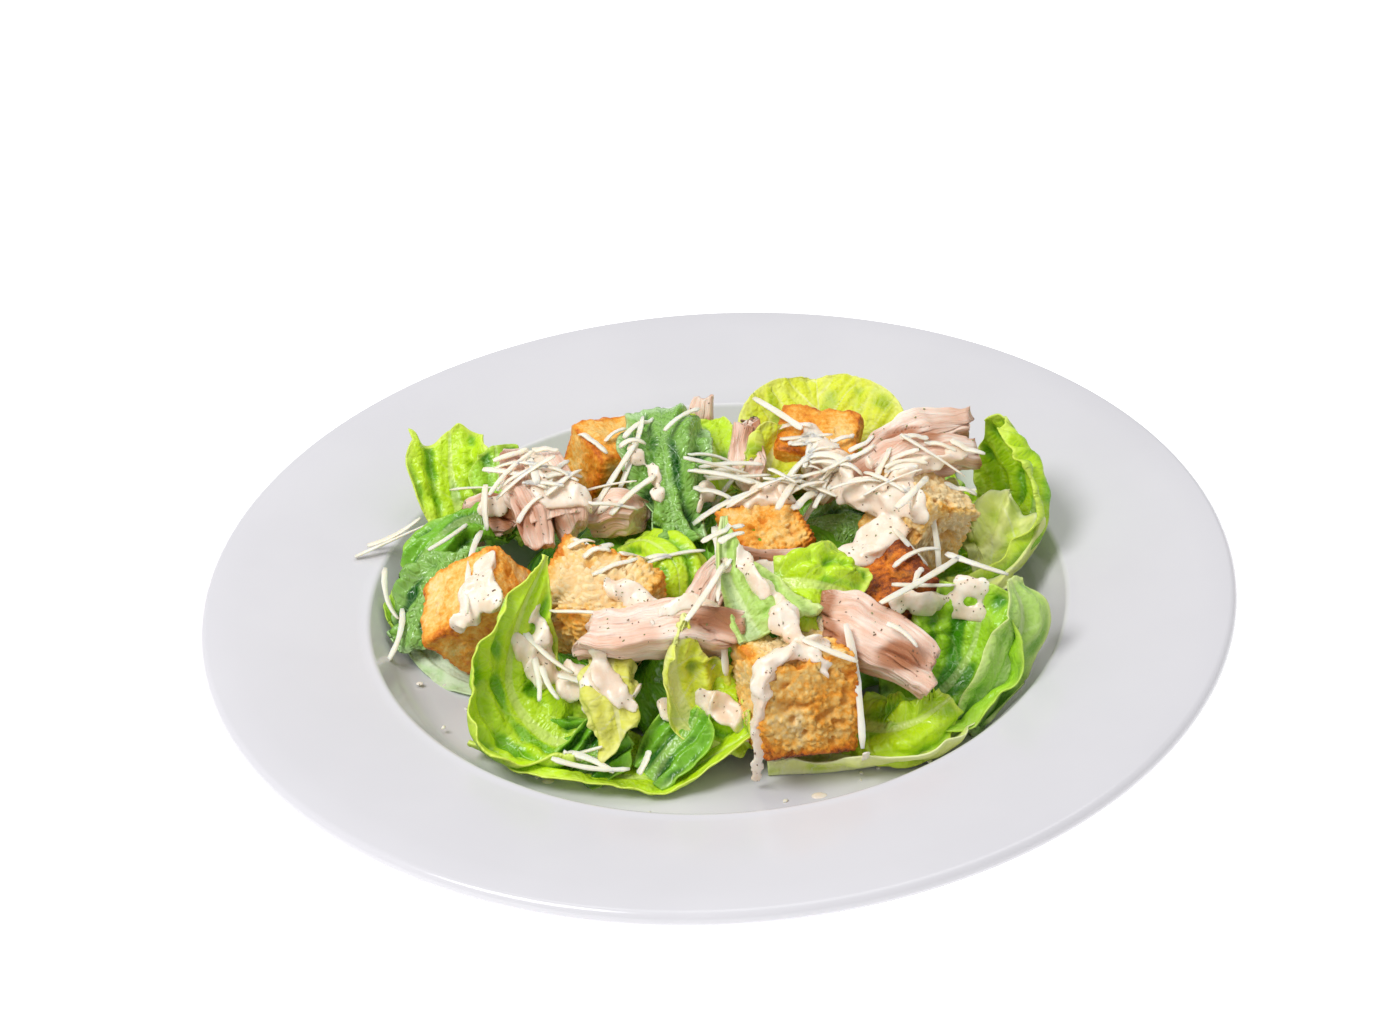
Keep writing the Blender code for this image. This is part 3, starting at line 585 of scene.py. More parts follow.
# ----------------------------------------------------------------------------------------------------------
# The croutons: white bread with its crust left on, cut in cubes, tossed in oil and toasted in a pan, so
# faces that met the pan are orange-brown and edges darker, while others still show the pale open crumb.
CROUTON_CUTS = 52
BROWNING = [  # from pale crumb to dark crust
    (0.0, (0.93, 0.74, 0.42)), (0.25, (0.93, 0.61, 0.19)), (0.47, (0.90, 0.38, 0.035)),
    (0.72, (0.68, 0.17, 0.006)), (1.0, (0.16, 0.026, 0.002)),
]
CROUTONS = [  # (name, centre, size, turn, how brown its -X, +X, -Y, +Y, -Z and +Z faces are, how open it is)
    ("left", (-60, -14, 27), (23, 26, 20.5), (-64, 49, 22), (0.28, 0.42, 0.40, 0.5, 0.52, 0.5), 0.5),
    ("left_middle", (-31, -20, 30), (30, 24, 24), (20, 10, -28), (0.85, 0.3, 0.30, 0.3, 0.7, 0.06), 2.2),
    ("back_left", (-27, 36, 37), (20, 18, 21), (10, 12, 30), (0.44, 0.5, 0.38, 0.45, 0.6, 0.42), 0.3),
    ("back", (29, 37, 36), (22, 18, 20), (14, 8, -12), (0.5, 0.6, 0.48, 0.5, 0.6, 0.5), 0.5),
    ("middle", (14, 1, 31.5), (20, 19, 20), (18, -10, 20), (0.5, 0.55, 0.50, 0.4, 0.6, 0.34), 1.6),
    ("right", (53, 1, 38), (20, 20, 21), (12, 32, 38), (0.15, 0.08, 0.10, 0.1, 0.4, 0.0), 1.6),
    ("right_dark", (42, -19, 27), (25, 25, 23), (8, -12, 20), (1.1, 1.2, 1.15, 0.8, 1.0, 0.9), 1.6),
    ("front", (18, -55, 26), (25, 25, 26), (-17, 4, 14), (0.3, 0.4, 0.36, 0.3, 1.1, 0.12), 1.6),
]


def bread_finish():
    material, tree, shader = new_finish("toasted_bread")
    crumbs = grain(tree, 0.0011, 4.0, 0.7)
    fleck = add_node(tree, "Math", {0: crumbs, 1: 0.9, 2: -0.45}, operation="MULTIPLY_ADD").outputs[0]
    level = add_node(tree, "Math", {0: stored(tree, "toast"), 1: fleck}, operation="ADD").outputs[0]
    ramp = add_node(tree, "ValToRGB", {"Fac": level})
    stops = ramp.color_ramp.elements
    for k, (place, brown) in enumerate(BROWNING):
        stop = stops[k] if k < 2 else stops.new(place)
        stop.position = place
        stop.color = (*brown, 1.0)
    # painted shade: the crumb's holes and the gaps between its lumps are coloured darker orange
    pore_shading = spread(tree, stored(tree, "pore_shade"), 0.1, 0.9, 0.0, 0.45)
    feed(tree, shader, {
        "Base Color": blend_colours(tree, pore_shading, ramp.outputs["Color"], (0.74, 0.34, 0.05)),
        "Roughness": spread(tree, level, 0.2, 0.8, 0.62, 0.36),
        "Normal": raised(tree, crumbs, 0.8, 0.0005),
        "Specular IOR Level": 0.3,
    })
    return material


bread = bread_finish()


def cut_cube(cuts):
    bm = bmesh.new()
    bmesh.ops.create_cube(bm, size=2.0)
    bmesh.ops.subdivide_edges(bm, edges=bm.edges, cuts=cuts, use_grid_fill=True)
    return bm


def rounded(co, power):
    """Pulls a point of a cube with corners at 1 inwards, to a block with soft edges and corners."""
    length = sum(abs(c) ** power for c in co) ** (1 / power)
    return co * (max(abs(c) for c in co) / length)


def uneven(co, seed, size, height):
    """A push that varies smoothly over size, up to about height."""
    at = co / size + Vector((seed * 17.3, seed * 5.1, seed * 9.7))
    return Vector(noise.noise(at + Vector((0, 0, 31.7 * axis))) for axis in range(3)) * height


def make_crouton(seed, name, centre, size, turn, toasted, open_crumb):
    bm = cut_cube(CROUTON_CUTS)
    toast_layer, pore_shade_layer = (bm.verts.layers.float.new(key) for key in ("toast", "pore_shade"))
    half = mm(*size) / 2
    shift = Vector((seed * 4.7, seed * 2.9, seed * 6.1))
    place = Matrix.Translation(mm(*centre)) @ Euler([math.radians(a) for a in turn]).to_matrix().to_4x4()
    for vert in bm.verts:
        cube = vert.co.copy()
        weights = [max(0.0, sign * cube[axis]) ** 7 for axis in range(3) for sign in (-1, 1)]
        brown = sum(w * b for w, b in zip(weights, toasted)) / sum(weights)
        edge = ease(sorted(abs(c) for c in cube)[1], 0.72, 1.0)
        block = rounded(cube, 15.0) * half
        open_here = open_crumb * (1 - 0.7 * ease(brown, 0.35, 0.8))
        near = noise.voronoi(block / 0.0019 + shift + uneven(block, seed, 0.003, 0.6))[0]
        lump = ease(near[1] - near[0], 0.0, 0.45)
        hole = ease(noise.noise(block / 0.0032 + shift * 5), 0.28, 0.5)
        rough = noise.noise(block / 0.0012 + shift * 3) * 0.00022
        rough += noise.noise(block / 0.004 + shift * 2) * 0.0006
        move = uneven(block, seed, 0.012, 0.0009 + 0.0006 * open_crumb)
        swell = rough + (lump - 0.5) * 0.0005 * open_here - hole * 0.0012 * open_here
        move += rounded(cube, 4.0).normalized() * swell
        vert.co = place @ (block + move)
        blotch = noise.noise(block / 0.008 + shift * 4) * 0.26 + noise.noise(block / 0.0024 + shift) * 0.16
        vert[toast_layer] = min(max(brown + blotch + 0.28 * edge - 0.04, 0.0), 1.0)
        # painted shade in the holes and between the lumps
        vert[pore_shade_layer] = min(max(hole, (1 - lump) * 0.35) * open_here, 1.0)
    bmesh.ops.recalc_face_normals(bm, faces=bm.faces)
    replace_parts(add_piece("bread_" + name, bm, bread), "crouton_" + name)


for number, crouton in enumerate(CROUTONS):
    make_crouton(number, *crouton)

# ----------------------------------------------------------------------------------------------------------
# The chicken: poached breast, pulled apart by hand along its fibres into pieces as long as a thumb. It is
# moist and pinkish, split between bundles of fibres with painted shade in the splits, browned in patches and
# darker brown towards each piece's underside.
CHICKEN_CUTS = 34
UPWARD = (0.1, -0.5, 0.9)
CHICKEN = [  # (piece, seed, spine, width, thickness, look, how browned, which part of it, how torn its ends)
    ("back_left", 0, [(-48, 31, 42), (-47, 22, 45), (-44, 13, 44), (-42, 7, 41)], 17, 12, UPWARD),
    ("back_left", 10, [(-49, 17, 43), (-47, 8, 42), (-45, 1, 37)], 10, 9, UPWARD, 0.2, "lobe"),
    ("back_left", 11, [(-40, 18, 43), (-38, 10, 42), (-37, 4, 38)], 9, 9, UPWARD, 0.2, "lobe_2"),
    ("left_small", 1, [(-67, 26, 27), (-60, 25, 30), (-53, 24, 29)], 13, 8, (0, -0.6, 0.8), 0.0),
    ("back_tip", 2, [(-4, 40, 40), (-3, 46, 44), (-1, 49, 49)], 6, 4, (0, -0.6, 0.8)),
    ("back_slim", 3, [(10, 22, 38), (10, 29, 43), (10, 37, 47)], 10, 8, (0, -0.7, 0.7), 0.0),
    ("front", 4, [(-34, -40, 36), (-22, -42, 38), (-9, -43, 39), (4, -42, 37)], 12, 13, (0, -0.5, 0.9), 0.1),
    ("front_right", 5, [(25, -39, 37), (33, -43, 36), (42, -49, 33), (51, -55, 29)], 14, 11, UPWARD, 0.3),
    ("right", 6, [(37, 5, 45), (46, 9, 47), (56, 14, 48), (66, 19, 47)], 13, 8, (-0.1, -0.4, 0.9)),
    ("right", 12, [(44, 7, 48), (56, 13, 50), (71, 19, 46)], 8, 7, (-0.1, -0.6, 0.8), 0.3, "lower_plank",
     0.2),
    ("right", 13, [(42, 13, 49), (55, 21, 52), (70, 27, 50)], 10, 6, (-0.1, -0.5, 0.9), 0.1, "upper_plank",
     0.2),
    ("middle_left", 7, [(-30, 13, 37), (-25, 11, 39), (-19, 10, 38)], 10, 9, (0, -0.4, 0.9)),
    ("centre", 8, [(-6, -30, 34), (2, -20, 37), (14, -20, 37), (26, -17, 36)], 12, 11, (0, -0.4, 0.9)),
    ("back_right", 9, [(27, 13, 41), (32, 16, 42), (38, 19, 42)], 9, 7, (0, -0.5, 0.9), 0.0),
]


def moist(weight, radius, scale):
    """Light that sinks in and comes out again."""
    return {"Subsurface Weight": weight, "Subsurface Radius": radius, "Subsurface Scale": scale}


def chicken_finish():
    material, tree, shader = new_finish("cooked_chicken")
    strands = grain(tree, 1.1, 4.0, 0.6, vector=stored(tree, "fibre", "Vector"))
    flesh = blend_colours(tree, spread(tree, strands, 0.3, 0.7), (0.86, 0.56, 0.41), (0.98, 0.86, 0.75))
    for share, tint in (
        (spread(tree, grain(tree, 0.009), 0.35, 0.7, 0.0, 0.6), (0.70, 0.36, 0.22)),
        (spread(tree, stored(tree, "browned"), 0.0, 1.0, 0.0, 0.9), (0.42, 0.15, 0.05)),
        # painted shade: darker red-brown in the splits between bundles of fibres
        (spread(tree, stored(tree, "split_and_shade"), 0.2, 1.0, 0.0, 0.7), (0.50, 0.19, 0.09)),
    ):
        flesh = blend_colours(tree, share, flesh, tint)
    feed(tree, shader, {
        "Base Color": flesh,
        "Roughness": spread(tree, strands, 0.3, 0.7, 0.28, 0.48),
        "Normal": raised(tree, strands, 0.9, 0.0012),
        **moist(0.2, (0.004, 0.0015, 0.001), 0.6),
    })
    return material


meat = chicken_finish()


def make_chicken(node, seed, spine, width, thickness, face, browned=0.2, name="", torn=1):
    """A pulled piece: a block along its spine, thinner and ragged at both ends, split along its fibres."""
    bm = cut_cube(CHICKEN_CUTS)
    split_shade_layer, brown_layer = (bm.verts.layers.float.new(key) for key in ("split_and_shade", "browned"))
    fibre_layer = bm.verts.layers.float_vector.new("fibre")
    points = [mm(*p) for p in spine]
    looks = [Vector(face).normalized()] * 2
    shift = Vector((seed * 3.1, seed * 8.3, seed * 5.9))
    length = length_of(points, 8)

    def fibres(u, y, z, long, thin, times):
        return noise.noise(Vector((u / long, y / thin, z / thin)) + shift * times)

    for vert in bm.verts:
        cube = vert.co.copy()
        block = rounded(cube, 14.0)
        y, z = block.y * mm(width) / 2, block.z * mm(thickness) / 2
        cut = fibres(0, y, z, 1, 0.004, 1) * 0.0022 * torn
        cut += (y * math.sin(seed * 2.1) + z * math.cos(seed * 1.3)) * 0.45
        share = min(max((cube.x + 1) / 2 + ease(abs(cube.x), 0.6, 1.0) * cut / length, -0.12), 1.12)
        inside = min(max(share, 0.0), 1.0)
        point, step, out, across = frame_at(points, looks, inside)
        offset = (across * y + out * z) * (0.62 + 0.38 * math.sin(math.pi * (0.12 + 0.76 * inside)))
        u = share * length
        at = point + step * ((share - inside) * length) + offset
        split_and_shade = 1 - ease(abs(fibres(u, y, z, 0.028, 0.0048, 2)), 0.0, 0.07)
        split_and_shade *= ease(noise.noise(at / 0.012 + shift), -0.2, 0.3)
        crease = min(abs(fibres(u, y, z, 0.013, 0.0042, 3)) * 3, 1.0) - 0.6
        relief = fibres(u, y, z, 0.02, 0.0022, 1) * 0.0006 - split_and_shade * 0.0022 + crease * 0.0006
        direction = offset.normalized() if offset.length > 1e-6 else step
        co = at + direction * relief + uneven(at, seed + 20, 0.013, 0.0020)
        co += uneven(at, seed + 40, 0.004, 0.0006)
        vert.co = co
        vert[split_shade_layer] = split_and_shade
        seared = ease(noise.noise(co / 0.012 + shift) + browned, 0.2, 0.6)
        seared *= ease(max(abs(cube.y), abs(cube.z)), 0.6, 1.0)
        # darker brown towards each piece's underside, as well as in the seared patches
        vert[brown_layer] = max(seared, ease(-cube.z, 0.0, 0.9) * 0.5)
        vert[fibre_layer] = (u / 0.018, y / 0.0011 + seed * 3, z / 0.0011)
    bmesh.ops.recalc_face_normals(bm, faces=bm.faces)
    name = "_".join(["meat", node, name]).rstrip("_")
    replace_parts(add_piece(name, bm, meat), "chicken_" + node)


for piece in CHICKEN:
    make_chicken(*piece)

# ----------------------------------------------------------------------------------------------------------
# The dressing: a thick cream of egg yolk, oil, cheese and herbs. It is spooned on last, so it lies in blobs
# on the toppings, runs down their sides in round-ended drips and pools in the cups of the leaves.
SPOONFULS = [  # each is a run of (x, y, z, radius) in millimetres, laid on whatever is nearest
    [(-59, -14, 45, 2.6), (-61, -22, 42, 3.8), (-64, -27, 38, 3), (-66, -30, 34, 2.2), (-67, -32, 30, 1.8)],
    [(-60, -24, 42, 3.0), (-57, -28, 42, 3.0), (-54, -30, 41, 1.8)],
    [(-50, -34, 32, 2.2), (-46, -38, 26, 3.2), (-39, -41, 24, 3.8), (-31, -45, 24, 3.2)],
    [(-31, -45, 34, 2.0), (-29, -49, 32, 2.6), (-27, -53, 29, 2.4), (-23, -56, 26, 1.8)],
    [(-21, -48, 24, 2.2), (-15, -50, 22, 2.6)],
    [(-5, -52, 24, 2.2), (0, -54, 22, 3.2), (5, -56, 19, 3.0), (9, -58, 14, 2.0)],
    [(18, -56, 44, 3.2), (13, -60, 42, 3.6), (10, -64, 38, 3.0), (9, -67, 32, 2.4), (8, -68, 26, 2.0)],
    [(15, -56, 44, 2.6), (20, -59, 42, 2.6), (25, -62, 38, 1.8)],
    [(13, -52, 44, 3.2), (18, -50, 44, 3.6), (24, -53, 43, 2.8)],
    [(-46, -30, 40, 1.4), (-45, -34, 34, 2.0), (-43, -38, 29, 2.6)],
    [(-20, 22, 52, 1.6), (-16, 14, 48, 2.0), (-12, 8, 45, 1.8)],
    [(52, 6, 52, 2.4), (58, 8, 50, 2.8), (66, 13, 50, 2.2)],
    [(44, 12, 50, 2.6), (38, 8, 48, 3.4), (31, 6, 46, 3.2), (24, 8, 44, 2.4)],
    [(30, 26, 44, 3.4), (32, 19, 45, 3.6), (36, 13, 46, 3.2)],
    [(22, 14, 44, 2.0), (14, 12, 43, 2.4), (6, 13, 42, 1.8)],
    [(22, 7, 44, 2.6), (14, 7, 44, 3.2), (7, 9, 43, 2.6), (0, 12, 43, 2.0)],
    [(68, -26, 36, 1.6), (62, -25, 33, 2.6), (56, -28, 32, 3.2), (51, -33, 34, 3.0), (47, -39, 38, 2.2)],
    [(60, -31, 30, 1.8), (66, -33, 31, 2.2)],
    [(50, 2, 53, 2.6), (47, -2, 48, 4.0), (41, -2, 47, 4.2), (34, -3, 47, 3.0)],
    [(47, -2, 48, 3.4), (52, -6, 48, 3.2), (54, -10, 46, 2.0)],
    [(47, -8, 41, 3.4), (42, -11, 40, 4.2), (36, -15, 39, 3.8), (30, -18, 37, 2.6)],
    [(28, 34, 46, 2.4), (30, 30, 44, 3.4), (30, 25, 42, 3.6), (27, 19, 46, 3.0)],
    [(-47, 24, 52, 2.6), (-44, 14, 53, 3.0), (-41, 7, 51, 3.4), (-34, 7, 48, 2.8), (-28, 9, 43, 2.4)],
    [(-62, 25, 33, 2.2), (-57, 24, 34, 2.6)],
    [(-27, -26, 41, 2.2), (-22, -29, 40, 3.0), (-16, -32, 38, 2.4)],
    [(-16, -47, 47, 1.4), (-8, -44, 48, 1.8), (0, -41, 47, 1.6)],
    [(5, -27, 52, 1.2), (8, -33, 49, 2.2), (12, -38, 46, 2.6)],
    [(4, -30, 46, 2.2), (11, -25, 43, 2.6), (19, -22, 42, 2.2)],
    [(10, 16, 42, 2.2), (4, 12, 42, 2.4), (-2, 8, 41, 2.0)],
]
DRIPS = [  # the same, hanging free of what is behind them
    [(15, -39, 44.5, 1.2), (16, -44, 43.5, 1.7), (17, -49, 42.5, 2.0), (18, -53, 41, 2.0)],
    [(8, -69, 27, 1.9), (8, -70, 20, 1.6), (7, -69, 14, 1.4), (7, -68, 10, 1.2)],
]
CREAM_VOXEL = 0.0006


def made_here():
    return [o for o in bpy.data.objects if o.type == "MESH" and o.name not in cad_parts]


def cream_finish():
    material, tree, shader = new_finish("creamy_dressing")
    cloud = spread(tree, grain(tree, 0.004, 3.0), 0.3, 0.7)
    cream = blend_colours(tree, cloud, (0.89, 0.71, 0.55), (0.95, 0.85, 0.73))
    cells = {"Scale": 700.0, "Vector": on_object(tree)}
    fleck = spread(tree, add_node(tree, "TexVoronoi", cells).outputs["Distance"], 0.10, 0.20, 1.0, 0.0)
    few = spread(tree, grain(tree, 0.0035), 0.52, 0.58)
    herb = add_node(tree, "Math", {0: fleck, 1: few}, operation="MULTIPLY").outputs[0]
    feed(tree, shader, {
        "Base Color": blend_colours(tree, herb, cream, (0.16, 0.13, 0.06)),
        "Roughness": spread(tree, cloud, 0.0, 1.0, 0.22, 0.34),
        "Normal": raised(tree, grain(tree, 0.0012, 3.0), 0.25, 0.0004),
        **moist(0.3, (0.003, 0.002, 0.0014), 0.6),
    })
    return material


def make_dressing(lying_on):
    ball = bmesh.new()
    bmesh.ops.create_icosphere(ball, subdivisions=2, radius=1.0)
    ball_verts = [v.co.copy() for v in ball.verts]
    ball_faces = [[v.index for v in f.verts] for f in ball.faces]
    ball.free()
    verts, faces = [], []
    chance = random.Random(5)
    for spoonful in SPOONFULS + DRIPS:
        run = [mm(x, y, z) for x, y, z, _ in spoonful]
        radii = [Vector((mm(r), 0, 0)) for *_, r in spoonful]
        steps = 9 * (len(spoonful) - 1)
        for k in range(steps + 1):
            place, normal = along(run, k / steps), Vector((0, -1, 0))
            radius = along(radii, k / steps).x
            radius *= 1 + 0.25 * noise.noise(Vector((k * 0.35, radii[0].x * 9000, 2)))
            if spoonful not in DRIPS:
                place, normal, _, _ = lying_on.find_nearest(place)
            if normal.z < -0.2:
                normal = -normal
            lean = Vector((0, 0, 1)).rotation_difference(normal).to_matrix() @ Matrix.Diagonal((1, 1, 0.3))
            for _ in range(3):
                side = Vector([chance.uniform(-1, 1) for _ in range(3)]) * radius * 0.45
                blob = place + side - normal * side.dot(normal) + normal * radius * 0.05
                start = len(verts)
                verts += [blob + lean @ (co * radius) for co in ball_verts]
                faces += [[start + i for i in face] for face in ball_faces]
    mesh = bpy.data.meshes.new("dressing_runs")
    mesh.from_pydata(verts, [], faces)
    runs = placed("dressing_runs", mesh)
    remesh = runs.modifiers.new("Joined", "REMESH")
    remesh.mode = "VOXEL"
    remesh.voxel_size = CREAM_VOXEL
    bm = bmesh.new()
    bm.from_mesh(bpy.data.meshes.new_from_object(runs.evaluated_get(bpy.context.evaluated_depsgraph_get())))
    bpy.data.objects.remove(runs)
    all_ways = {"use_axis_x": True, "use_axis_y": True, "use_axis_z": True}
    for _ in range(6):
        bmesh.ops.smooth_vert(bm, verts=bm.verts, factor=0.5, **all_ways)
    add_piece("dressing", bm, cream_finish())


make_dressing(tree_of(made_here()))

# ----------------------------------------------------------------------------------------------------------
# The cheese: hard cheese from a coarse grater, in pale strips up to two millimetres wide. They fall last, so
# they bridge from topping to topping and lie thickest across the middle at the back.
SHRED_STEPS = 12
SHRED_SECTION = (
    (-1, 0.3), (-0.88, 0.95), (0, 1), (0.88, 0.95), (1, 0.3), (0.9, -0.95), (0, -1), (-0.9, -0.95)
)


def cheese_finish():
    material, tree, shader = new_finish("grated_cheese")
    cloud = spread(tree, grain(tree, 0.006, 3.0), 0.3, 0.7)
    feed(tree, shader, {
        "Base Color": blend_colours(tree, cloud, (0.93, 0.80, 0.61), (0.96, 0.88, 0.72)),
        "Roughness": spread(tree, cloud, 0.0, 1.0, 0.42, 0.55),
        "Normal": raised(tree, grain(tree, 0.0006), 0.3, 0.0002),
        **moist(0.6, (0.003, 0.0022, 0.0014), 0.8),
    })
    return material


def height_under(place, surface):
    """The top of what lies under a point, and the plate's height where nothing does."""
    hit, *_ = surface.ray_cast(Vector((place.x, place.y, 0.09)), Vector((0, 0, -1)))
    return hit.z if hit else 0.0075


def strip(bm, path, width, thickness, chance):
    """A strip of cheese along a path: a flat section with soft edges, tapered at both ends."""
    twist = chance.uniform(-0.5, 0.5)
    start = chance.uniform(-0.25, 0.25)
    narrow = chance.uniform(0.55, 1.0)
    last = len(path) - 1
    rings = []
    for k, point in enumerate(path):
        t = k / last
        step = (path[min(k + 1, last)] - path[max(k - 1, 0)]).normalized()
        side = step.cross(Vector((0, 0, 1)))
        side = side.normalized() if side.length > 0.05 else Vector((1, 0, 0))
        up = side.cross(step)
        turn = start + twist * t
        side, up = side * math.cos(turn) + up * math.sin(turn), up * math.cos(turn) - side * math.sin(turn)
        taper = min(ease(t, -0.09, 0.06), ease(1 - t, -0.09, 0.08))
        half = width / 2 * taper * (1 + (narrow - 1) * t) * (1 + 0.12 * chance.uniform(-1, 1))
        thin = thickness / 2 * (0.5 + 0.5 * taper)
        rings.append([bm.verts.new(point + side * (half * a) + up * (thin * b)) for a, b in SHRED_SECTION])
    for low, high in zip(rings, rings[1:]):
        for k in range(8):
            bm.faces.new((low[k], low[(k + 1) % 8], high[(k + 1) % 8], high[k]))
    bm.faces.new(reversed(rings[0]))
    bm.faces.new(rings[-1])


def fallen(centre, angle, length, bow, surface, lift, sag):
    """A strip dropped on the heap: it rests on what is highest under it and sags a little between."""
    ahead = Vector((math.cos(angle), math.sin(angle), 0))
    aside = Vector((-ahead.y, ahead.x, 0))
    spots = [k / SHRED_STEPS * 2 - 1 for k in range(SHRED_STEPS + 1)]
    path = [centre + ahead * (t * length / 2) + aside * (bow * (1 - t * t)) for t in spots]
    floor = [height_under(place, surface) + lift for place in path]
    middle = SHRED_STEPS // 2
    best = (floor[middle], 0.0)
    for i in range(middle):
        for j in range(middle + 1, SHRED_STEPS + 1):
            slope = (floor[j] - floor[i]) / (j - i)
            best = max(best, (floor[i] + slope * (middle - i), slope))
    for k, place in enumerate(path):
        droop = mm(sag) * (k / middle - 1) ** 2
        place.z = max(best[0] + best[1] * (k - middle) - droop, floor[k] - 0.0004)
    return path if abs(best[1]) * SHRED_STEPS < length * 0.9 else None


def leaning(start, end, bow, droop):
    """A strip whose two ends are caught at given places, bowed sideways and drooping between them."""
    a, b = mm(*start), mm(*end)
    aside = (b - a).cross(Vector((0, 0, 1))).normalized()
    humps = [4 * (k / SHRED_STEPS) * (1 - k / SHRED_STEPS) for k in range(SHRED_STEPS + 1)]
    return [
        a.lerp(b, k / SHRED_STEPS) + aside * mm(bow * hump) - Vector((0, 0, mm(droop * hump)))
        for k, hump in enumerate(humps)
    ]


CAUGHT = [  # (start, end, sideways bow, droop) of strips that stand out by themselves
    ((-61, 10, 36), (-63, -31, 39), 1.0, -2.5), ((-97, 22, 22), (-74, 27, 29), -1.5, 1.0),
    ((-94, 27, 22), (-79, 30, 28), 1.0, 0.5), ((-88, 13, 24), (-84, -5, 20), 1.5, 0.5),
    ((-83, -2, 21), (-87, -16, 14), -1.5, -0.5), ((-71, 40, 30), (-55, 28, 37), -1.0, 0.0),
    ((-60, 26, 40), (-60, 16, 32), 0.5, -0.5), ((-24, 14, 44), (-17, 33, 54), 1.0, -1.0),
    ((-21, 18, 45), (-19, 28, 50), -1.5, 0.0), ((0, -8, 45), (0, -46, 49), -0.8, -1.5),
    ((-8, -52, 48), (2, -33, 51), 1.0, -1.0), ((31, -49, 42), (33, -72, 21), -0.8, -1.0),
    ((20, -57, 44), (33, -62, 40), 0.8, -0.5), ((-8, -50, 26), (2, -43, 34), 0.6, 0.5),
    ((2, -43, 42), (1, -50, 29), 0.5, 0.0), ((59, -16, 38), (74, -24, 36), 1.5, -1.0),
    ((40, -44, 44), (62, -18, 38), 1.5, -1.0), ((41, -50, 42), (48, -55, 38), -0.8, -0.5),
    ((34, -70, 18), (33, -66, 11), 0.3, 0.0), ((-50, -32, 35), (-37, -44, 28), 0.8, 0.8),
    ((-47, -37, 29), (-46, -48, 23), -0.6, 0.5), ((-45, -40, 28), (-41, -49, 24), 0.6, 0.3),
    ((-41, -43, 27), (-31, -48, 26), -0.8, 0.2), ((-43, -66, 19), (-24, -67, 15), 1.0, 0.6),
    ((-38, -62, 17), (-28, -68, 15), -1.0, 0.3), ((-22, -68, 14), (-19, -64, 18), 0.3, 0.0),
    ((13, 44, 51), (25, 27, 51), -0.8, 0.5), ((50, 12, 57), (66, 4, 48), 0.8, -1.0),
    ((46, -12, 44), (54, -18, 36), 0.6, -0.8), ((50, -5, 52), (52, -10, 45), 0.4, -0.5),
    ((56, -8, 45), (57, -17, 33), -0.5, 0.0),
]
FALLEN = [  # (x, y, reach along x, reach along y, how many) of the places where most of them fell
    (20, 12, 23, 9, 42), (2, 16, 6, 10, 10), (40, 4, 14, 9, 12), (-36, 12, 18, 12, 20),
    (-58, 14, 16, 10, 8), (-20, -14, 16, 8, 12), (28, 30, 10, 8, 7), (6, -24, 10, 6, 6),
    (56, -24, 12, 8, 8), (62, 10, 12, 8, 5), (-24, 28, 8, 8, 5), (-30, -60, 12, 5, 3), (0, 0, 60, 42, 8),
]


def make_cheese(surface):
    bm = bmesh.new()
    chance = random.Random(21)
    for start, end, bow, droop in CAUGHT:
        strip(bm, leaning(start, end, bow, droop), mm(chance.uniform(1.6, 2.1)), mm(0.5), chance)
    for x, y, wide, deep, count in FALLEN:
        for _ in range(count):
            angle, reach = chance.uniform(0, math.tau), math.sqrt(chance.random())
            centre = mm(x + wide * reach * math.cos(angle), y + deep * reach * math.sin(angle), 0)
            length, bow = mm(chance.uniform(6, 18)), mm(chance.gauss(0, 0.6))
            lift, heading = mm(0.5 + chance.random() * 1.2), chance.gauss(0.25, 0.6)
            sag = chance.uniform(0.0, 2.2)
            path = fallen(centre, heading, length, bow, surface, lift, sag)
            if path:
                strip(bm, path, mm(chance.uniform(1.2, 2.1)), mm(chance.uniform(0.4, 0.6)), chance)
    bmesh.ops.recalc_face_normals(bm, faces=bm.faces)
    add_piece("cheese_shreds", bm, cheese_finish())


make_cheese(tree_of(made_here()))

# ----------------------------------------------------------------------------------------------------------
# Small things: flakes of dried herbs and cracked pepper on the dressing and the meat, and beside the heap
# the crumbs of cheese and the small drops of dressing that missed it.
SPECK_COUNT = 300
CRUMB_COUNT = 70
DROP_COUNT = 16


def herb_finish():
    material, tree, shader = new_finish("dried_herbs")
    kind = spread(tree, stored(tree, "kind"), 0.3, 0.6)
    feed(tree, shader, {
        "Base Color": blend_colours(tree, kind, (0.24, 0.27, 0.10), (0.20, 0.12, 0.07)),
        "Roughness": spread(tree, grain(tree, 0.0008), 0.3, 0.7, 0.6, 0.9),
    })
    return material


def scaled(co, shape):
    return Vector(c * size for c, size in zip(co, shape))


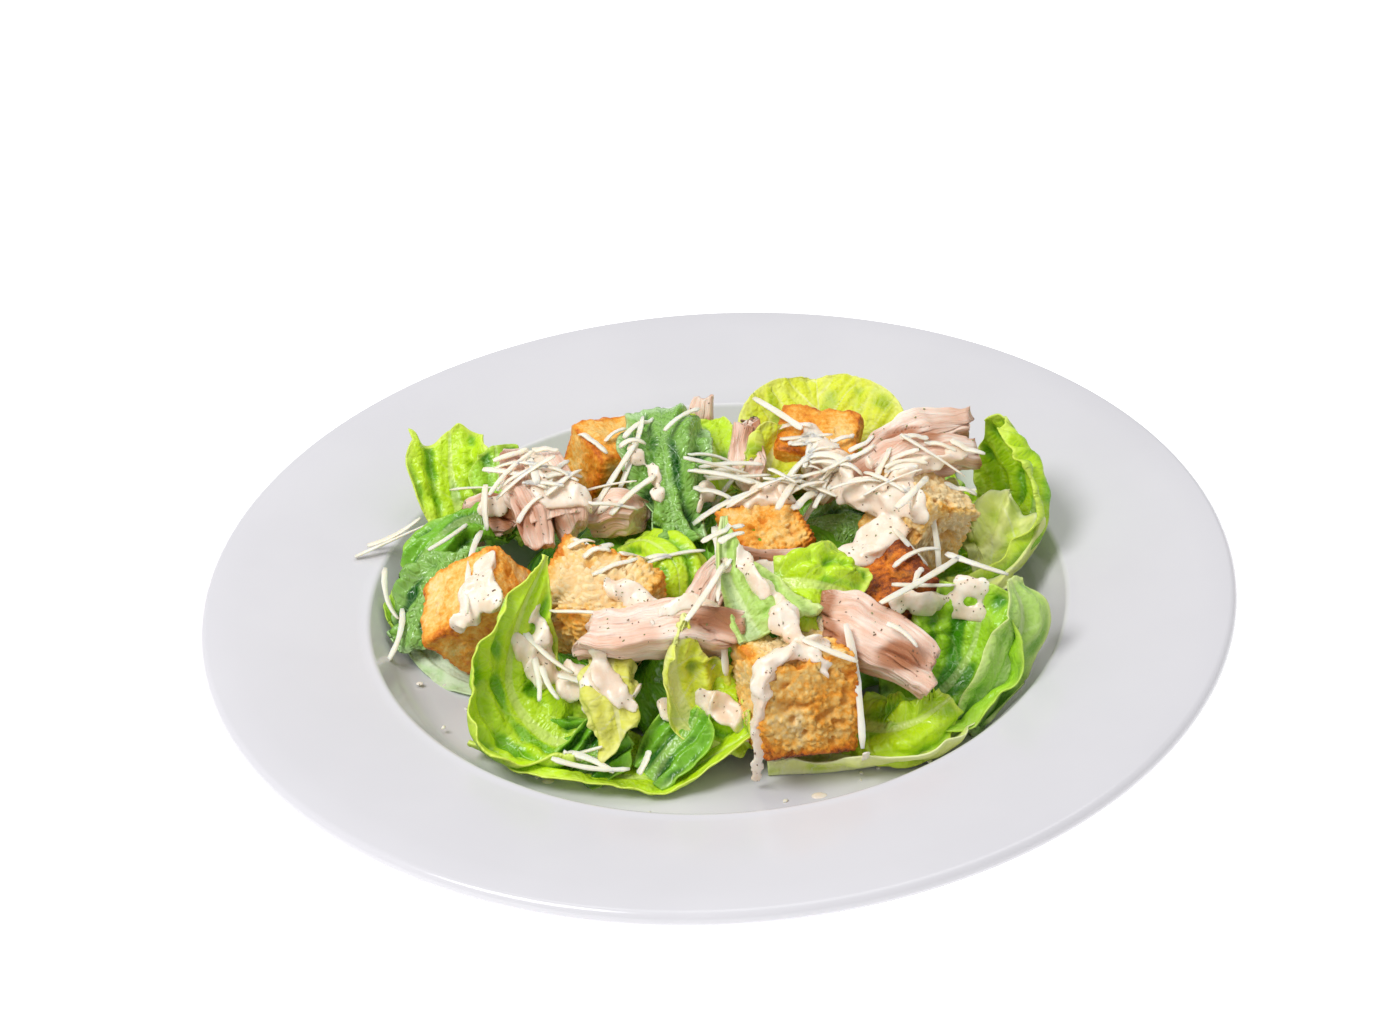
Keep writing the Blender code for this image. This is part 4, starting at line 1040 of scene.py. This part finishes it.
def make_specks(food, wanted):
    """Flakes under a millimetre across, lying wherever the dressing or the meat is uppermost."""
    bm = bmesh.new()
    kind_layer = bm.verts.layers.float.new("kind")
    chance = random.Random(8)
    made = 0
    while made < SPECK_COUNT:
        slope = chance.choice((0.0, 0.6, 1.0))
        start = mm(chance.uniform(-75, 75), chance.uniform(-75, 60), 0) + Vector((0, -slope * 0.08, 0.08))
        ahead = Vector((0, slope, -1)).normalized()
        hit, normal, _, far = wanted.ray_cast(start, ahead)
        if hit is None or (food.ray_cast(start, ahead)[3] or far) < far - 0.0004:
            continue
        made += 1
        size = mm(chance.uniform(0.12, 0.32))
        lean = Vector((0, 0, 1)).rotation_difference(normal).to_matrix()
        turn = Matrix.Rotation(chance.uniform(0, math.tau), 3, "Z")
        kind = chance.random()
        flake = bmesh.ops.create_cube(bm, size=1.0)["verts"]
        shape = (size * chance.uniform(1.0, 2.4), size, min(size, 0.00025))
        for vert in flake:
            bent = vert.co + Vector((chance.uniform(-0.25, 0.25), chance.uniform(-0.3, 0.3), 0))
            vert.co = hit + normal * 0.00008 + lean @ (turn @ scaled(bent, shape))
            vert[kind_layer] = kind
    add_piece("herb_specks", bm, herb_finish(), smooth=False)


def beside_heap(chance):
    angle = chance.uniform(0, math.tau)
    reach = 74 + 6 * math.sin(angle * 3) + abs(chance.gauss(0, 7))
    place = mm(reach * math.cos(angle), reach * 0.93 * math.sin(angle), 0)
    return in_well(place, 0.0)


def make_crumbs():
    bm = bmesh.new()
    chance = random.Random(31)
    for _ in range(CRUMB_COUNT):
        place, size = beside_heap(chance), mm(chance.uniform(0.25, 0.8))
        crumb = bmesh.ops.create_icosphere(bm, subdivisions=2, radius=1.0)["verts"]
        shift = Vector((chance.uniform(0, 50), 0, 0))
        shape = (size * chance.uniform(0.7, 1.8), size * chance.uniform(0.6, 1.0), size * 0.55)
        turn = Matrix.Rotation(chance.uniform(0, math.tau), 3, "Z")
        for vert in crumb:
            ragged = vert.co * (1 + 0.35 * noise.noise(vert.co * 1.4 + shift)) + Vector((0, 0, 0.8))
            vert.co = place + turn @ scaled(ragged, shape)
    add_piece("cheese_crumbs", bm, bpy.data.materials["grated_cheese"])


def make_drops():
    bm = bmesh.new()
    chance = random.Random(44)
    for _ in range(DROP_COUNT):
        place, size = beside_heap(chance), mm(chance.uniform(0.5, 1.5))
        drop = bmesh.ops.create_icosphere(bm, subdivisions=3, radius=1.0)["verts"]
        long = chance.uniform(1.0, 1.6)
        for vert in drop:
            height = vert.co.z * (0.30 if vert.co.z > 0 else 0.05) + 0.05
            vert.co = place + Vector((vert.co.x * long, vert.co.y, height)) * size
    add_piece("dressing_drops", bm, bpy.data.materials["creamy_dressing"])


lain_on = [piece for piece in made_here() if piece.name == "dressing" or piece.name.startswith("meat")]
make_specks(tree_of(made_here()), tree_of(lain_on))
make_crumbs()
make_drops()

# ----------------------------------------------------------------------------------------------------------
# The table and the light: a white sweep under two big soft lamps, one in front to the left and one behind.
CAMERA_HEIGHT = math.radians(35.48)
CAMERA_TILT = math.radians(-3.45)
CAMERA_DISTANCE = 0.750
CAMERA_LENS = 73.09
LOOKED_AT = Vector((0, 0, 0.020))


def set_camera():
    camera = placed("camera", bpy.data.cameras.new("camera"))
    bpy.context.scene.camera = camera
    back = Vector((0, -math.cos(CAMERA_HEIGHT), math.sin(CAMERA_HEIGHT)))
    right = Vector((1, 0, 0))
    up = back.cross(right)
    tilted_right = right * math.cos(CAMERA_TILT) + up * math.sin(CAMERA_TILT)
    tilted_up = up * math.cos(CAMERA_TILT) - right * math.sin(CAMERA_TILT)
    pose = Matrix((tilted_right, tilted_up, back)).transposed().to_4x4()
    pose.translation = LOOKED_AT + back * CAMERA_DISTANCE
    camera.matrix_world = pose
    camera.data.sensor_width = 36.0
    camera.data.lens = CAMERA_LENS
    camera.data.shift_x = -0.0121
    camera.data.shift_y = 0.0546
    camera.data.clip_start = 0.05


def add_lamp(name, place, size, watts):
    lamp = placed(name, bpy.data.lights.new(name, "AREA"))
    lamp.data.shape = "DISK"
    lamp.data.size = size
    lamp.data.energy = watts
    lamp.location = place
    lamp.rotation_euler = (LOOKED_AT - Vector(place)).to_track_quat("-Z", "Y").to_euler()


def make_floor():
    bm = bmesh.new()
    bmesh.ops.create_grid(bm, x_segments=1, y_segments=1, size=3.0)
    material, tree, shader = new_finish("white_table")
    cloud = spread(tree, grain(tree, 0.5), 0.3, 0.7)
    feed(tree, shader, {
        "Base Color": blend_colours(tree, cloud, (0.96, 0.96, 0.96), (0.99, 0.99, 0.99)),
        "Roughness": 0.9,
        "Specular IOR Level": 0.1,
        "Emission Color": (1, 1, 1, 1),
        "Emission Strength": 0.5,
    })
    meshed("floor", bm, material)


set_camera()
make_floor()
add_lamp("window", (-0.62, -0.38, 1.2), 0.6, 13)
add_lamp("overhead", (0.2, 0.5, 1.5), 1.2, 6)
world = bpy.context.scene.world or bpy.data.worlds.new("room")
bpy.context.scene.world = world
world.use_nodes = True
world.node_tree.nodes["Background"].inputs["Color"].default_value = (1, 1, 1, 1)
world.node_tree.nodes["Background"].inputs["Strength"].default_value = 0.46
bpy.context.scene.view_settings.view_transform = "Standard"
